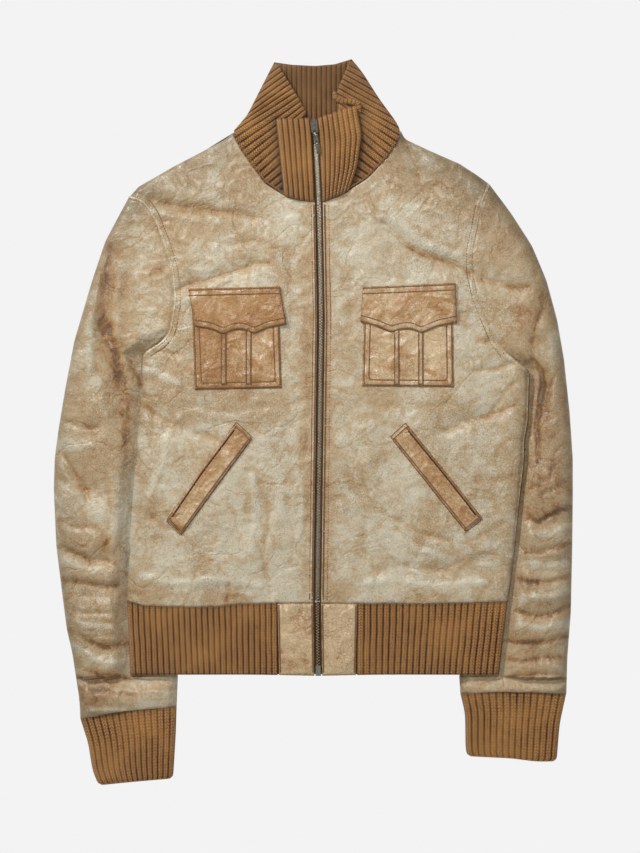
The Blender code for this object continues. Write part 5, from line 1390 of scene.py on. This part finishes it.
# The cut of each cloth piece in metres and square metres, and what it lies on
CUTS = {
    "back_hide": (0.47, 0.55, 0.219, "floor"),
    "hem_back_knit": (0.443, 0.083, 0.0367, "floor"),
    "sleeve_left_hide": (0.29, 0.61, 0.125, "floor"),
    "sleeve_right_hide": (0.26, 0.6, 0.1, "floor"),
    "cuff_left_knit": (0.205, 0.088, 0.018, "floor"),
    "cuff_right_knit": (0.215, 0.083, 0.0178, "floor"),
    "front_left_hide": (0.224, 0.555, 0.1, "back_hide"),
    "front_right_hide": (0.245, 0.555, 0.106, "back_hide"),
    "hem_left_knit": (0.175, 0.083, 0.0144, "hem_back_knit"),
    "hem_right_knit": (0.174, 0.083, 0.0142, "hem_back_knit"),
    "hem_panel_left": (0.043, 0.084, 0.0035, "hem_back_knit"),
    "hem_panel_right": (0.043, 0.084, 0.0035, "hem_back_knit"),
    "collar_back_knit": (0.194, 0.1, 0.013, "back_hide"),
    "collar_side_left_knit": (0.09, 0.152, 0.0085, "back_hide"),
    "collar_side_right_knit": (0.085, 0.152, 0.0082, "back_hide"),
    "collar_front_left_knit": (0.046, 0.1, 0.0042, "collar_side_left_knit"),
    "collar_front_right_knit": (0.054, 0.114, 0.0052, "collar_side_right_knit"),
    "pocket_left_patch": (0.107, 0.114, 0.0115, "front_left_hide"),
    "pocket_right_patch": (0.108, 0.116, 0.012, "front_right_hide"),
    "pocket_left_flap": (0.115, 0.057, 0.0057, "pocket_left_patch"),
    "pocket_right_flap": (0.115, 0.059, 0.006, "pocket_right_patch"),
    "pocket_left_band_1": (0.012, 0.066, 0.00075, "pocket_left_patch"),
    "pocket_left_band_2": (0.012, 0.066, 0.00075, "pocket_left_patch"),
    "pocket_right_band_1": (0.012, 0.066, 0.00075, "pocket_right_patch"),
    "pocket_right_band_2": (0.012, 0.066, 0.00075, "pocket_right_patch"),
    "welt_left_patch": (0.027, 0.143, 0.0038, "front_left_hide"),
    "welt_right_patch": (0.026, 0.145, 0.0037, "front_right_hide"),
}

# Floor, light and camera
bpy.ops.mesh.primitive_plane_add(size=12.0, location=(0, 0, FLOOR_DROP))
floor = bpy.context.object
floor.name = "floor"
floor_finish = bpy.data.materials.new("floor_paper")
floor_finish.use_nodes = True
tree = floor_finish.node_tree
glow = tree.nodes.new("ShaderNodeEmission")
glow.inputs["Color"].default_value = (FLOOR_TONE, FLOOR_TONE, FLOOR_TONE, 1.0)
tree.links.new(glow.outputs[0], tree.nodes["Material Output"].inputs["Surface"])
floor.data.materials.append(floor_finish)

world = bpy.data.worlds.new("studio")
world.use_nodes = True
world.node_tree.nodes["Background"].inputs["Color"].default_value = (1.0, 1.0, 1.0, 1.0)
world.node_tree.nodes["Background"].inputs["Strength"].default_value = 0.25
bpy.context.scene.world = world
for name, place, size, power in (("key", (-1.5, 1.7, 1.35), 0.4, 50.0), ("fill", (1.8, -0.6, 1.9), 1.2, 10.0),
                                 ("sheen", (-0.3, 0.8, 2.2), 0.3, 15.0)):
    lamp = bpy.data.lights.new(name, "AREA")
    lamp.size = size
    lamp.energy = power
    made = bpy.data.objects.new(name, lamp)
    made.location = place
    made.rotation_euler = Vector(place).to_track_quat("Z", "Y").to_euler()
    bpy.context.scene.collection.objects.link(made)

CAMERA_HEIGHT = 4.0
FRAME_WIDTH = 0.7469
CENTRE = (0.0078, -0.0049)
camera_data = bpy.data.cameras.new("camera")
camera_data.sensor_fit = "HORIZONTAL"
camera_data.sensor_width = 36.0
camera_data.lens = 36.0 * CAMERA_HEIGHT / FRAME_WIDTH
camera = bpy.data.objects.new("camera", camera_data)
camera.location = (CENTRE[0], CENTRE[1], CAMERA_HEIGHT + 0.01)
bpy.context.scene.collection.objects.link(camera)
bpy.context.scene.camera = camera
bpy.context.scene.view_settings.view_transform = "Standard"

for name, (width, length, area, below) in CUTS.items():
    extra = ["collar_curl_knit"] if name == "collar_side_right_knit" else []
    extra += [f"zip_tape_{word}" for word in ("left", "right") if name == f"front_{word}_hide"]
